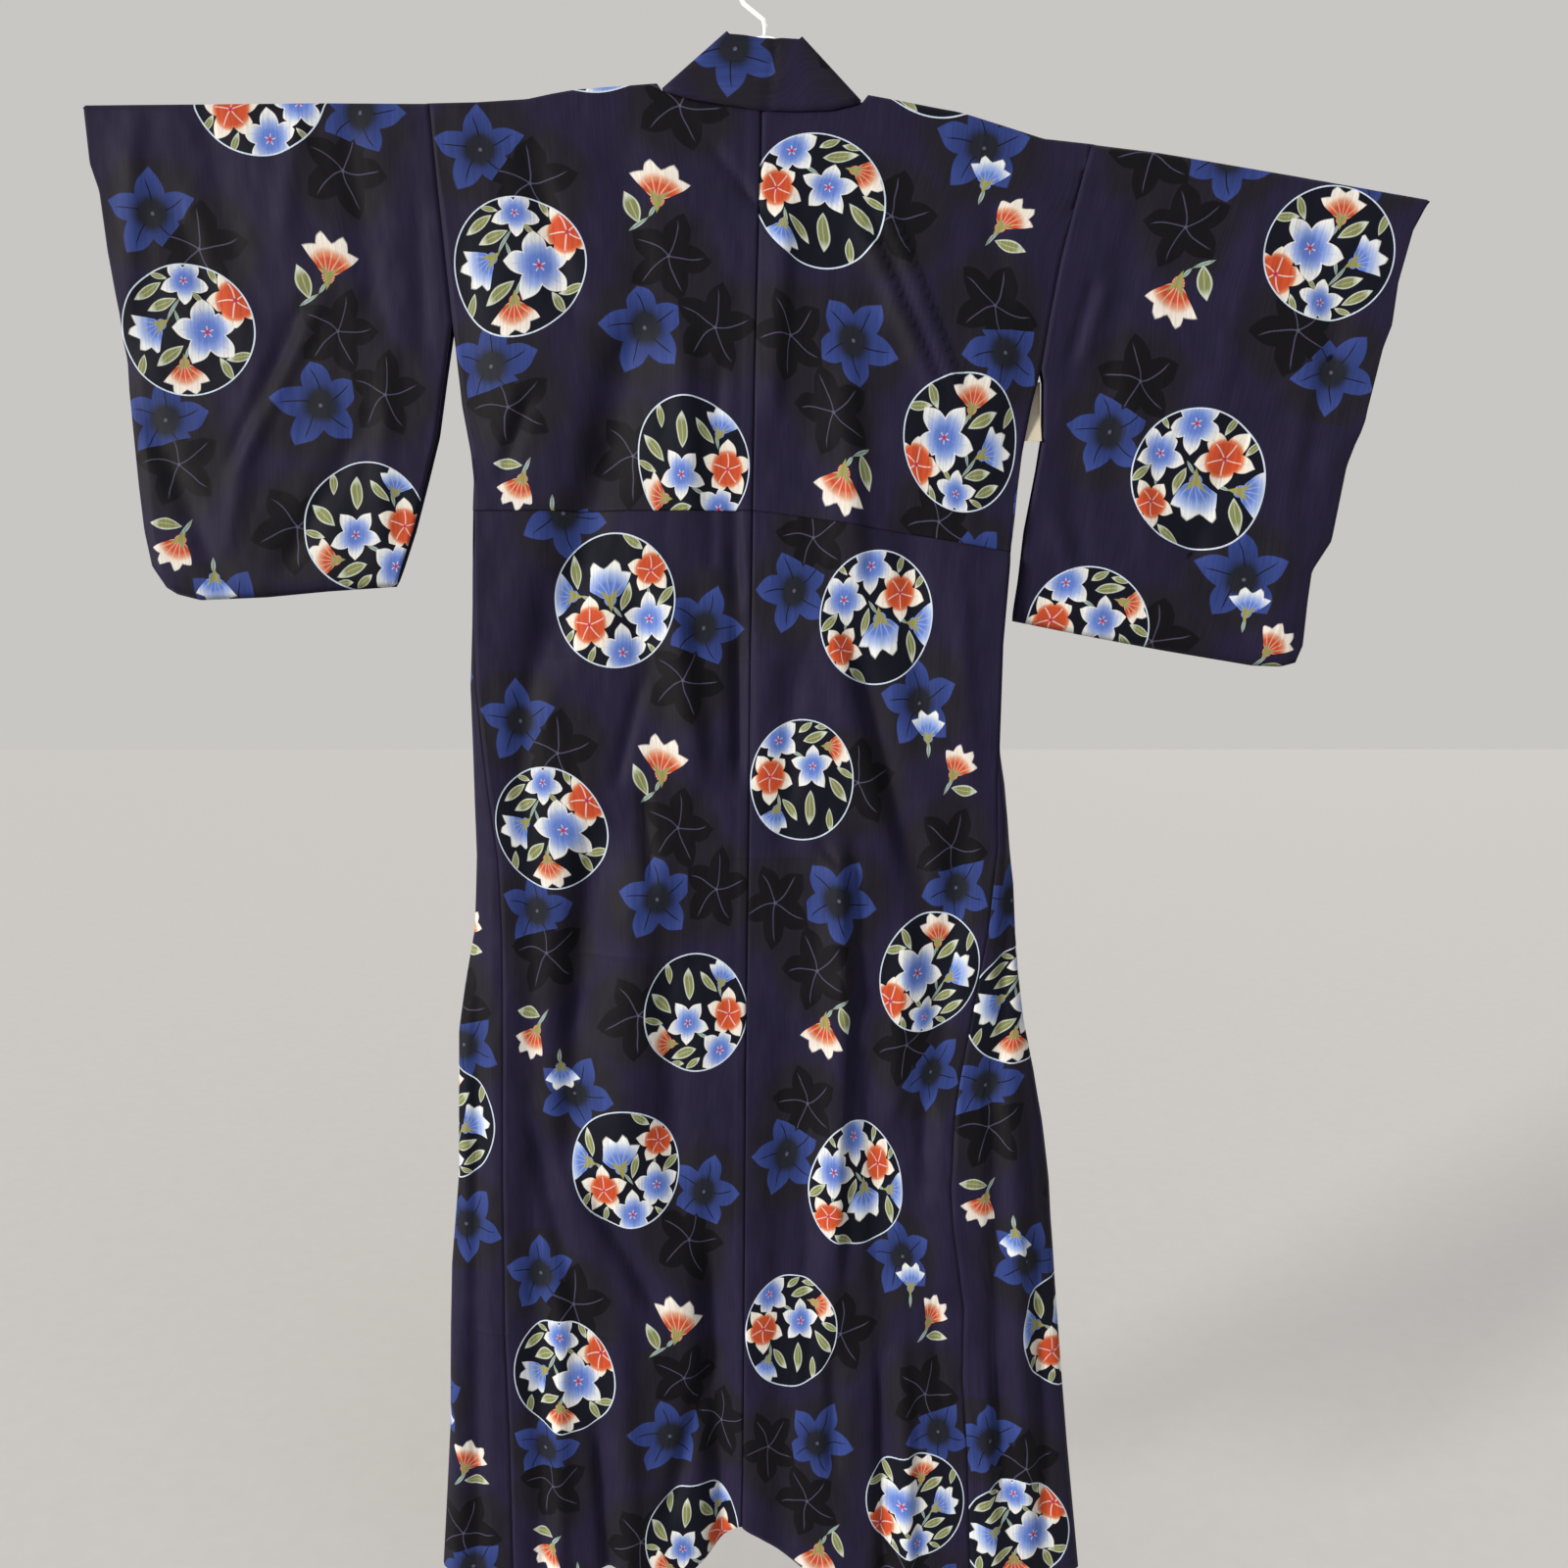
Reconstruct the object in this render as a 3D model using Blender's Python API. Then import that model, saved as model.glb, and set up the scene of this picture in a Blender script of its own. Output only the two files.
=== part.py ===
"""Cotton yukata robe on a plain plastic hanger, seen from its back as in the photo.

Metres, +Z up. The robe's back faces -Y and its front +Y, left and right are
those of the photo. The origin is the highest point inside the hanger's hook.
Every cloth piece is a surface laid out in rows and columns, thickened outwards.
"""

import math
from collections import namedtuple

import bmesh
import bpy
import numpy as np

MM = 0.001

# ---- driving dimensions, in millimetres ----
CLOTH_THICK = 1.6
COLLAR_THICK = 2.6
SEAM_GAP = 0.4
LAYER_HALF = 6.0        # half the space between back and front layers at the armhole
HEM_Z = -1736.0
SLIT_END_Z = -478.0     # the side seam is sewn below this, the underarm slit is above
ARMHOLE_END_Z = (-345.0, -392.0)   # left, right: the sleeve is sewn on above this
KENSAKI_Z = -345.0      # tip of the overlap panel, where it meets the collar
COLLAR_END_Z = -880.0
LEVEL_Z = -230.0        # rows are level below this and follow the shoulder above
FRONT_DEPTH = (27.0, 15.0)         # left front lies over the right front
BACK_DEPTH = -22.0

# ---- outlines, from the photo ----
SideRow = namedtuple("SideRow", "z seam fold")   # fold: where the front panel turns back
LEFT_SIDE = [SideRow(*row) for row in (
    (-131, -337, -337), (-213, -331, -331), (-285, -325, -325), (-345, -320, -320),
    (-390, -316, -316), (-430, -312, -312), (-478, -303, -303), (-505, -300, -301),
    (-617, -303, -305), (-718, -303, -313), (-821, -294, -313), (-902, -285, -314),
    (-984, -283, -319), (-1048, -284, -331), (-1098, -285, -339), (-1265, -289, -344),
    (-1370, -290, -355), (-1440, -291, -358), (-1560, -289, -362), (-1736, -289, -376),
)]
RIGHT_SIDE = [SideRow(*row) for row in (
    (-170, 332, 332), (-228, 317, 317), (-281, 304, 304), (-338, 294, 294),
    (-392, 286, 286), (-428, 277, 277), (-478, 267, 267), (-517, 262, 263),
    (-571, 257, 258), (-674, 250, 251), (-784, 248, 250), (-821, 247, 257),
    (-892, 249, 265), (-931, 245, 270), (-986, 240, 273), (-1031, 232, 277),
    (-1083, 224, 284), (-1143, 214, 297), (-1195, 206, 306), (-1265, 203, 315),
    (-1308, 206, 318), (-1408, 221, 328), (-1493, 221, 336), (-1584, 228, 345),
    (-1736, 234, 362),
)]
CentreRow = namedtuple("CentreRow", "z x")
CENTRE_BACK = [CentreRow(*row) for row in (
    (-139, -3), (-496, -12), (-780, -16), (-1144, -22), (-1676, -27), (-1736, -28),
)]
ShoulderPoint = namedtuple("ShoulderPoint", "x z")
LEFT_SHOULDER = [ShoulderPoint(*row) for row in (
    (-108, -112), (-150, -115), (-191, -118), (-215, -122), (-239, -127), (-290, -130),
    (-337, -131),
)]
RIGHT_SHOULDER = [ShoulderPoint(*row) for row in (
    (106, -123), (140, -129), (178, -136), (196, -139), (211, -143), (258, -157),
    (284, -165), (332, -170),
)]
BACK_NECK = [ShoulderPoint(*row) for row in (
    (-108, -119), (-99, -121.4), (-71.4, -128.8), (-37.2, -134), (-3, -139), (32.5, -140),
    (68, -139), (95, -132.6), (106, -130),
)]
FrontRow = namedtuple("FrontRow", "z panel edge")  # panel: okumi seam, edge: front edge
LEFT_FRONT = [FrontRow(*row) for row in (
    (-112, -108, -108), (-140, -103, -103), (-200, -95, -95), (-345, -80, -76), (-500, -76, -44),
    (-700, -88, -14), (-880, -104, 10), (-1000, -122, 2), (-1265, -160, -26),
    (-1500, -196, -58), (-1736, -226, -84),
)]
RIGHT_FRONT = [FrontRow(*row) for row in (
    (-123, 106, 106), (-150, 100, 100), (-200, 92, 92), (-345, 76, 72), (-500, 66, 34),
    (-700, 56, -20), (-880, 60, -46), (-1000, 74, -44), (-1265, 118, -10),
    (-1500, 170, 36), (-1736, 212, 74),
)]
HemPoint = namedtuple("HemPoint", "x rise")    # the back hem curls up near its middle
BACK_HEM = [HemPoint(*row) for row in (
    (-300, 2), (-190, 10), (-130, 10), (-90, 5), (-60, 30), (-30, 60), (-10, 50),
    (20, 26), (50, 6), (90, 0), (300, 0),
)]

# Large folds of the back, from (top_x, top_z) to (low_x, low_z); depth > 0 is a trough.
Fold = namedtuple("Fold", "top_x top_z low_x low_z half_width depth")
BACK_FOLDS = [Fold(*row) for row in (
    (-188, -345, -184, -560, 26, 5), (-196, -760, -200, -1140, 30, 6),
    (-262, -860, -262, -1760, 22, 9), (-52, -1270, -46, -1800, 18, 12),
    (96, -800, 88, -1060, 24, 6), (84, -1200, 96, -1800, 26, 6),
    (170, -1280, 196, -1800, 24, -7), (18, -250, 22, -420, 16, 5),
    (140, -240, 190, -420, 22, 5), (-130, -900, -110, -1800, 34, -6),
    (215, -880, 190, -1180, 24, 8), (20, -1350, 10, -1800, 22, -6),
)]

BACK_COLUMNS = (0.0, 0.10, 0.20, 0.307, 0.39, 0.48, 0.57, 0.66, 0.74, 0.81, 0.87,
                0.92, 0.96, 1.0)       # share of the way from centre seam to side
NECK_COLUMN = 3                        # column that passes beside the neck
STRIP_COLUMNS = 4                      # front columns between side seam and its fold
OKUMI_COLUMNS = 4
ARCH_ROWS = (0.0, 0.8, 3.2, 7.0, 14.0)    # first rows below the shoulder, in mm
ROW_Z = (-160.0, -190.0, -230.0, -285.0, -345.0, -392.0, -435.0, -478.0, -505.0,
         -540.0, -590.0, -640.0, -700.0, -760.0, -820.0, -880.0, -940.0, -1000.0,
         -1060.0, -1120.0, -1180.0, -1240.0, -1300.0, -1360.0, -1420.0, -1480.0,
         -1540.0, -1600.0, -1660.0, -1700.0, -1736.0)
FIRST_ROWS = len(ARCH_ROWS)

# Sleeves: outlines of the flat bag, the first point at the shoulder, in mm.
LEFT_CUFF = ((-686, -133), (-683, -190), (-675, -217), (-670, -275), (-661, -338),
             (-659, -376), (-659, -413), (-657, -463), (-655, -509), (-652, -555),
             (-646, -592), (-632, -614))
LEFT_BOTTOM = ((-389, -613), (-463, -618), (-527, -624), (-597, -627), (-621, -621),
               (-632, -614))
LEFT_FURI = ((-322, -354), (-330, -398), (-340, -458), (-353, -504), (-368, -555),
             (-389, -613))
LEFT_TOP = ((-337, -131), (-450, -131), (-570, -132), (-686, -133))
RIGHT_CUFF = ((677, -224), (663, -252), (650, -306), (646, -348), (638, -371),
              (625, -435), (623, -448), (609, -489), (597, -566), (578, -597),
              (575, -628), (572, -675), (565, -693))
RIGHT_BOTTOM = ((263, -649), (338, -664), (424, -680), (520, -696), (550, -697),
                (565, -693))
RIGHT_FURI = ((289, -398), (290, -457), (285, -493), (274, -556), (269, -608),
              (263, -649))
RIGHT_TOP = ((332, -170), (398, -178), (540, -201), (677, -224))
FURI_ROWS = 6
CUFF_OPENING = 230.0
SLEEVE_HALF = (5.6, 5.6)               # half depth of the bag at its middle

# Collar: a band folded diagonally at each side of the neck.
COLLAR_TOP = ((-34, -68), (-20, -68), (-1, -73), (19, -73), (34, -75))
COLLAR_WIDTH_TOP = 58.0
COLLAR_WIDTH_END = 64.0
COLLAR_ACROSS = 3

# Hanger
ARM = ((-208, -126), (-200, -123.6), (-190, -122.2), (-160, -121.5), (-125, -122),
       (-100, -125.9), (-75, -115), (-45, -96), (-22, -79), (-9, -70.5), (0, -69.2), (9, -70.3),
       (24, -79), (45, -99), (75, -121), (96, -133.8), (120, -134), (150, -135.5), (178, -140.2), (190, -142.5),
       (198, -146))
ARM_DEEP, ARM_TALL = 6.4, 7.5
HUB_TOP_Z = -65.4
HOOK_RADIUS = 24.0                     # to the middle of the wire
HOOK_WIRE = 4.4
LABEL_SIZE = (21.0, 62.0, 0.9)
LABEL_AT = (277.0, -434.0)

COLOURS = {
    "cotton": (0.030, 0.024, 0.055), "plastic": (0.80, 0.80, 0.77), "label": (0.78, 0.74, 0.64),
}


def clear_scene():
    for obj in list(bpy.data.objects):
        bpy.data.objects.remove(obj, do_unlink=True)


def material(name, colour, roughness):
    made = bpy.data.materials.new(name)
    made.use_nodes = True
    shader = made.node_tree.nodes["Principled BSDF"]
    shader.inputs["Base Color"].default_value = (*colour, 1.0)
    shader.inputs["Roughness"].default_value = roughness
    made.diffuse_color = (*colour, 1.0)
    return made


def along(rows, z, field):
    """Value of one column of a table at height z."""
    heights = [-row.z for row in rows]
    return float(np.interp(-z, heights, [getattr(row, field) for row in rows]))


def across(points, x, field):
    xs = [point.x for point in points]
    values = [getattr(point, field) for point in points]
    if xs[0] > xs[-1]:
        xs, values = xs[::-1], values[::-1]
    return float(np.interp(x, xs, values))


def ease(value):
    value = min(max(value, 0.0), 1.0)
    return value * value * (3.0 - 2.0 * value)


def resample(points, count):
    """The polyline with count points, evenly spaced along its length."""
    points = np.array(points, float)
    steps = np.linalg.norm(np.diff(points, axis=0), axis=1)
    run = np.concatenate([[0.0], np.cumsum(steps)])
    wanted = np.linspace(0.0, run[-1], count)
    return np.stack([np.interp(wanted, run, points[:, k]) for k in range(points.shape[1])], 1)


def thicken(points, faces, thick):
    """A closed shell: the surface, a second one outwards from it, and the rims."""
    points = np.array(points, float)
    normals = np.zeros_like(points)
    for face in faces:
        corners = points[list(face)]
        middle = corners.mean(axis=0)
        normal = np.zeros(3)
        for k in range(len(face)):
            normal += np.cross(corners[k] - middle, corners[(k + 1) % len(face)] - middle)
        size = np.linalg.norm(normal)
        if size > 1e-9:
            for k in face:
                normals[k] += normal / size
    edges = set()
    for face in faces:
        edges |= {(face[k], face[(k + 1) % len(face)]) for k in range(len(face))}
    rims = [(a, b) for face in faces for a, b in zip(face, face[1:] + face[:1])
            if (b, a) not in edges]
    lengths = np.linalg.norm(normals, axis=1, keepdims=True)
    for k in {k for pair in rims for k in pair}:
        # a seam's edge is cut square, so that its neighbour keeps the same gap
        square = normals[k] * ((0, 1, 0) if abs(normals[k, 1]) > 0.75 * lengths[k, 0] else (0, 1, 1))
        normals[k] = square / max(np.linalg.norm(square), 1e-9) * lengths[k, 0]
    counts = np.zeros(len(points))
    for face in faces:
        for k in face:
            counts[k] += 1.0
    unit = normals / np.maximum(lengths, 1e-9)
    bend = np.clip(lengths[:, 0] / np.maximum(counts, 1.0), 0.6, 1.0)
    outer = points + unit * (thick / bend)[:, None]
    total = len(points)
    shell = [tuple(face)[::-1] for face in faces]
    shell += [tuple(k + total for k in face) for face in faces]
    shell += [(a, b, b + total, a + total) for a, b in rims]
    return np.vstack([points, outer]), shell


def add_mesh(name, points, faces, look):
    mesh = bpy.data.meshes.new(name)
    mesh.from_pydata([tuple(np.array(p) * MM) for p in points], [], [list(f) for f in faces])
    mesh.update()
    body = bmesh.new()
    body.from_mesh(mesh)
    bmesh.ops.triangulate(body, faces=body.faces[:])
    body.to_mesh(mesh)
    body.free()
    mesh.materials.append(look)
    for face in mesh.polygons:
        face.use_smooth = True
    obj = bpy.data.objects.new(name, mesh)
    bpy.context.scene.collection.objects.link(obj)
    return obj


class Surface:
    """Points under keys, so that sewn edges share theirs, and faces between them."""

    def __init__(self):
        self.index, self.points, self.faces = {}, [], []

    def put(self, key, point):
        if key not in self.index:
            self.index[key] = len(self.points)
            self.points.append(point)
        return self.index[key]

    def quad(self, *corners):
        ring = []
        for corner in corners:
            if corner not in ring:
                ring.append(corner)
        if len(ring) > 2:
            self.faces.append(tuple(ring))


# ---- the body's surfaces ----

def fold_depth(x, z):
    """How far the large folds push the back layer at this place: + is inwards."""
    total = 0.0
    for fold in BACK_FOLDS:
        run = (z - fold.top_z) / (fold.low_z - fold.top_z)
        if run <= -0.25 or run >= 1.25:
            continue
        middle = fold.top_x + (fold.low_x - fold.top_x) * run
        ends = ease((run + 0.25) / 0.4) * ease((1.25 - run) / 0.4)
        off = (x - middle) / fold.half_width
        total += fold.depth * ends * math.exp(-off * off)
    return total


def back_depth(x, z, below):
    """y of the back layer's inner face, below mm under the shoulder line."""
    arch = LAYER_HALF * math.sqrt(1.0 - (1.0 - min(below / 8.0, 1.0)) ** 2)
    settle = ease((below - 10.0) / 330.0)
    return -arch + (BACK_DEPTH + LAYER_HALF) * settle + fold_depth(x, z) * ease(below / 90.0)


def front_depth(side, below):
    arch = LAYER_HALF * math.sqrt(1.0 - (1.0 - min(below / 8.0, 1.0)) ** 2)
    return arch + (FRONT_DEPTH[side] - LAYER_HALF) * ease((below - 10.0) / 200.0)


def row_height(row, top_z):
    """Height of a row: close under the shoulder line at first, level below LEVEL_Z."""
    if row < FIRST_ROWS:
        return top_z - ARCH_ROWS[row]
    z = ROW_Z[row - FIRST_ROWS]
    if z <= LEVEL_Z:
        return z
    start = top_z - ARCH_ROWS[-1]
    share = (z + 130.0) / (LEVEL_Z + 130.0)
    return start + (LEVEL_Z - start) * share


ROWS = FIRST_ROWS + len(ROW_Z)
SIDES = (LEFT_SIDE, RIGHT_SIDE)
FRONTS = (LEFT_FRONT, RIGHT_FRONT)
SHOULDERS = (LEFT_SHOULDER, RIGHT_SHOULDER)


def side_edge(side, row):
    """(x, y of the back layer, y of the front layer, z) on the body's side, at a row."""
    top_z = SHOULDERS[side][-1].z
    z = row_height(row, top_z)
    x = along(SIDES[side], z, "seam")
    below = top_z - z
    arch = LAYER_HALF * math.sqrt(1.0 - (1.0 - min(below / 8.0, 1.0)) ** 2)
    open_share = 1.0 - ease((-z - 385.0) / 200.0)
    back = -arch * open_share + back_depth(x, z, below) * (1.0 - open_share)
    front = arch
    if z <= SLIT_END_Z:
        front = back
    elif z < -392.0:
        front = arch + (back - arch) * ease((-z - 392.0) / 100.0) * 0.8
    return x, back, front, z


def back_point(side, column, row):
    """Point of the back layer's inner face."""
    share = BACK_COLUMNS[column]
    sign = -1.0 if side == 0 else 1.0
    edge_x, edge_y, _, edge_z = side_edge(side, row)
    neck_x = SHOULDERS[side][0].x
    top_x = share * SHOULDERS[side][-1].x
    if column < NECK_COLUMN:
        seam_x = CENTRE_BACK[0].x
        top_x = seam_x + (neck_x - seam_x) * share / BACK_COLUMNS[NECK_COLUMN]
        top_z = across(BACK_NECK, top_x, "z") - SEAM_GAP / 2 + ARCH_ROWS[3]
        row = max(row, 3)
    elif column == NECK_COLUMN:
        top_x = neck_x
        top_z = SHOULDERS[side][0].z
    else:
        top_x = neck_x + (SHOULDERS[side][-1].x - neck_x) * (
            (share - BACK_COLUMNS[NECK_COLUMN]) / (1.0 - BACK_COLUMNS[NECK_COLUMN]))
        top_z = across(SHOULDERS[side], top_x, "z")
    z = row_height(row, top_z)
    side_x = along(SIDES[side], z, "seam")
    mid_x = along(CENTRE_BACK, z, "x") + sign * SEAM_GAP / 2
    level_x = mid_x + (side_x - mid_x) * share
    blend = ease((top_z - z) / 110.0)
    x = top_x + (level_x - top_x) * blend
    if column == 0:
        x = mid_x
    if column == len(BACK_COLUMNS) - 1:
        return edge_x, edge_y, edge_z
    if row == ROWS - 1:
        z += across(BACK_HEM, x, "rise")
    elif z < -1640.0:
        z += across(BACK_HEM, x, "rise") * ease((-z - 1560.0) / 176.0)
    below = top_z - z
    y = back_depth(x, z, below)
    near = ease((share - 0.80) / 0.20)
    return x, y + (edge_y - y) * near, z


def front_path(side, row, z, start, inner_x, front_y):
    """Cross-section of the front panel: side seam, out to its fold, back to the okumi seam."""
    seam_x, seam_y = start
    sign = -1.0 if side == 0 else 1.0
    fold_x = along(SIDES[side], z, "fold")
    half = (front_y - seam_y) / 2.0
    out = abs(fold_x - seam_x)
    turn = min(14.0, abs(half) * 1.2 + 0.5)
    path = []
    for k in range(7):
        angle = math.pi / 2.0 * k / 6.0
        path.append((seam_x + sign * out * math.sin(angle), seam_y + half * (1.0 - math.cos(angle))))
    for k in range(1, 7):
        angle = math.pi / 2.0 * k / 6.0
        path.append((fold_x - sign * turn * (1.0 - math.cos(angle)), seam_y + half + half * math.sin(angle)))
    path.append((inner_x, front_y))
    flat = [(seam_x + (inner_x - seam_x) * k / 30.0,
             seam_y + (front_y - seam_y) * ease(abs(inner_x - seam_x) * k / 30.0 / 150.0))
            for k in range(31)]
    sewn = ease((SLIT_END_Z - z) / 130.0)
    return spread(path, 6) * sewn + spread(flat, 0) * (1.0 - sewn)


def spread(path, fold):
    """The front columns' places along a cross-section whose fold is at point number fold."""
    path = np.array(path)
    steps = np.linalg.norm(np.diff(path, axis=0), axis=1)
    run = np.concatenate([[0.0], np.cumsum(steps)])
    at_fold = max(run[fold], 36.0)
    columns = len(BACK_COLUMNS) - 1 - NECK_COLUMN
    lower = np.linspace(0.0, at_fold, STRIP_COLUMNS + 1)
    first = np.array([6.0, 16.0]) + at_fold
    upper = np.concatenate([first, np.linspace(first[-1], run[-1], columns - STRIP_COLUMNS - 1)[1:]])
    wanted = np.concatenate([lower, upper])
    return np.stack([np.interp(wanted, run, path[:, 0]), np.interp(wanted, run, path[:, 1])], 1)


def front_row(side, row):
    """Points of the front layer along one row, from the side seam to the okumi seam."""
    sign = -1.0 if side == 0 else 1.0
    columns = len(BACK_COLUMNS) - 1 - NECK_COLUMN
    heights = []
    for k in range(columns + 1):
        column = len(BACK_COLUMNS) - 1 - k
        heights.append(back_top(side, column))
    edge_x, edge_back, edge_front, edge_z = side_edge(side, row)
    inner_z = row_height(row, heights[-1][1])
    inner_x = along(FRONTS[side], inner_z, "panel") + sign * SEAM_GAP / 2
    below = heights[-1][1] - inner_z
    depth = front_depth(side, below)
    path = front_path(side, row, edge_z, (edge_x, edge_front), inner_x, depth)
    made = []
    for k in range(columns + 1):
        top_x, top_z = heights[k]
        z = row_height(row, top_z)
        blend = ease((top_z - z) / 110.0)
        x = top_x + (path[k, 0] - top_x) * blend
        if k == 0:
            x = edge_x
        if k == columns:
            x = inner_x
        under = top_z - z
        y = path[k, 1] if under > 40.0 else front_depth(side, under)
        if 14.0 < under <= 120.0:
            mix = ease((under - 14.0) / 106.0)
            y = front_depth(side, under) * (1.0 - mix) + path[k, 1] * mix
        if k == 0:
            y = edge_front
        made.append((x, y, z))
    return made


def back_top(side, column):
    """(x, z) where a column crosses the shoulder line."""
    share = BACK_COLUMNS[column]
    neck = SHOULDERS[side][0]
    if column == NECK_COLUMN:
        return neck.x, neck.z
    x = neck.x + (SHOULDERS[side][-1].x - neck.x) * (
        (share - BACK_COLUMNS[NECK_COLUMN]) / (1.0 - BACK_COLUMNS[NECK_COLUMN]))
    return x, across(SHOULDERS[side], x, "z")


def body_panel(side):
    """One length of cloth: up the back, over the shoulder and down the front."""
    surface = Surface()
    last = len(BACK_COLUMNS) - 1
    grid = {}
    for row in range(ROWS):
        for column in range(last + 1):
            if column < NECK_COLUMN and row < 3:
                continue
            grid["back", column, row] = surface.put(("back", column, row), back_point(side, column, row))
        front = front_row(side, row)
        for k, point in enumerate(front):
            column = last - k
            key = ("front", column, row)
            if row == 0 or (column == last and ROW_HEIGHTS[side][row] <= SLIT_END_Z):
                grid[key] = grid["back", column, row]
            else:
                grid[key] = surface.put(key, point)
    for row in range(ROWS - 1):
        for column in range(last):
            if column < NECK_COLUMN and row < 3:
                continue
            a, b = grid["back", column, row], grid["back", column + 1, row]
            c, d = grid["back", column + 1, row + 1], grid["back", column, row + 1]
            surface.quad(*((a, b, c, d) if side == 0 else (d, c, b, a)))
        for column in range(NECK_COLUMN, last):
            a, b = grid["front", column, row], grid["front", column + 1, row]
            c, d = grid["front", column + 1, row + 1], grid["front", column, row + 1]
            surface.quad(*((d, c, b, a) if side == 0 else (a, b, c, d)))
    return surface


ROW_HEIGHTS = [[row_height(row, SHOULDERS[side][-1].z) for row in range(ROWS)] for side in (0, 1)]


# ---- overlap panels and collar ----

def okumi(side):
    surface = Surface()
    sign = -1.0 if side == 0 else 1.0
    rows = [z for z in ROW_Z if z <= KENSAKI_Z]
    for j, z in enumerate(rows):
        seam = along(FRONTS[side], z, "panel") - sign * SEAM_GAP / 2
        edge = along(FRONTS[side], z, "edge")
        if z >= COLLAR_END_Z:
            edge += sign * SEAM_GAP / 2
        if abs(edge - seam) < 3.0:
            edge = seam - sign * 3.0
        for k in range(OKUMI_COLUMNS + 1):
            x = seam + (edge - seam) * k / OKUMI_COLUMNS
            surface.put((k, j), (x, FRONT_DEPTH[side], z))
    for j in range(len(rows) - 1):
        for k in range(OKUMI_COLUMNS):
            ring = [surface.index[k, j], surface.index[k + 1, j],
                    surface.index[k + 1, j + 1], surface.index[k, j + 1]]
            surface.quad(*(ring if side == 0 else ring[::-1]))
    return surface


def collar_front(side):
    """Stations of the collar down one front: (outer seam point, free edge point)."""
    sign = -1.0 if side == 0 else 1.0
    top_x, top_z = SHOULDERS[side][0]
    stations = []
    for row in range(3, ROWS):
        z = row_height(row, top_z)
        if z < COLLAR_END_Z:
            break
        run = (top_z - z) / (top_z - COLLAR_END_Z)
        width = COLLAR_WIDTH_TOP + (COLLAR_WIDTH_END - COLLAR_WIDTH_TOP) * run
        x = along(FRONTS[side], z, "edge" if z <= KENSAKI_Z else "panel")
        y = front_depth(side, top_z - z)
        stations.append(((x - sign * SEAM_GAP, y, z), (x - sign * (SEAM_GAP + width), y, z + width * 0.12)))
    return stations


def collar():
    surface = Surface()
    stations = []
    left, right = collar_front(0), collar_front(1)
    back = []
    xs = [point.x for point in BACK_NECK][1:-1]
    tops = resample(COLLAR_TOP, len(xs))
    for x, top in zip(xs, tops):
        y = -LAYER_HALF
        back.append(((x, y, across(BACK_NECK, x, "z") + SEAM_GAP), (top[0], y + 1.0, top[1])))
    def bend(side):
        """The diagonal fold beside the neck, from the back band to the front band."""
        low = np.array(back[0 if side == 0 else -1][0])
        high = np.array(back[0 if side == 0 else -1][1])
        sign = -1.0 if side == 0 else 1.0
        out = np.array((sign * 0.62, 0.0, 0.78))
        ring = []
        for angle in (-50, -15, 20, 55):
            turn = math.radians(angle)
            reach = LAYER_HALF * math.cos(turn) * 0.6
            shift = out * reach + np.array((0.0, LAYER_HALF * math.sin(turn), 0.0))
            ring.append((tuple(low * (1, 0, 1) + shift), tuple(high * (1, 0, 1) + shift)))
        return ring
    stations += left[::-1]
    stations += bend(0)[::-1]
    stations += back
    stations += bend(1)
    stations += right
    for j, (seam, free) in enumerate(stations):
        seam, free = np.array(seam), np.array(free)
        for k in range(COLLAR_ACROSS + 1):
            surface.put((k, j), tuple(seam + (free - seam) * k / COLLAR_ACROSS))
    for j in range(len(stations) - 1):
        for k in range(COLLAR_ACROSS):
            surface.quad(surface.index[k, j], surface.index[k, j + 1],
                         surface.index[k + 1, j + 1], surface.index[k + 1, j])
    return surface


# ---- sleeves ----

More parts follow.
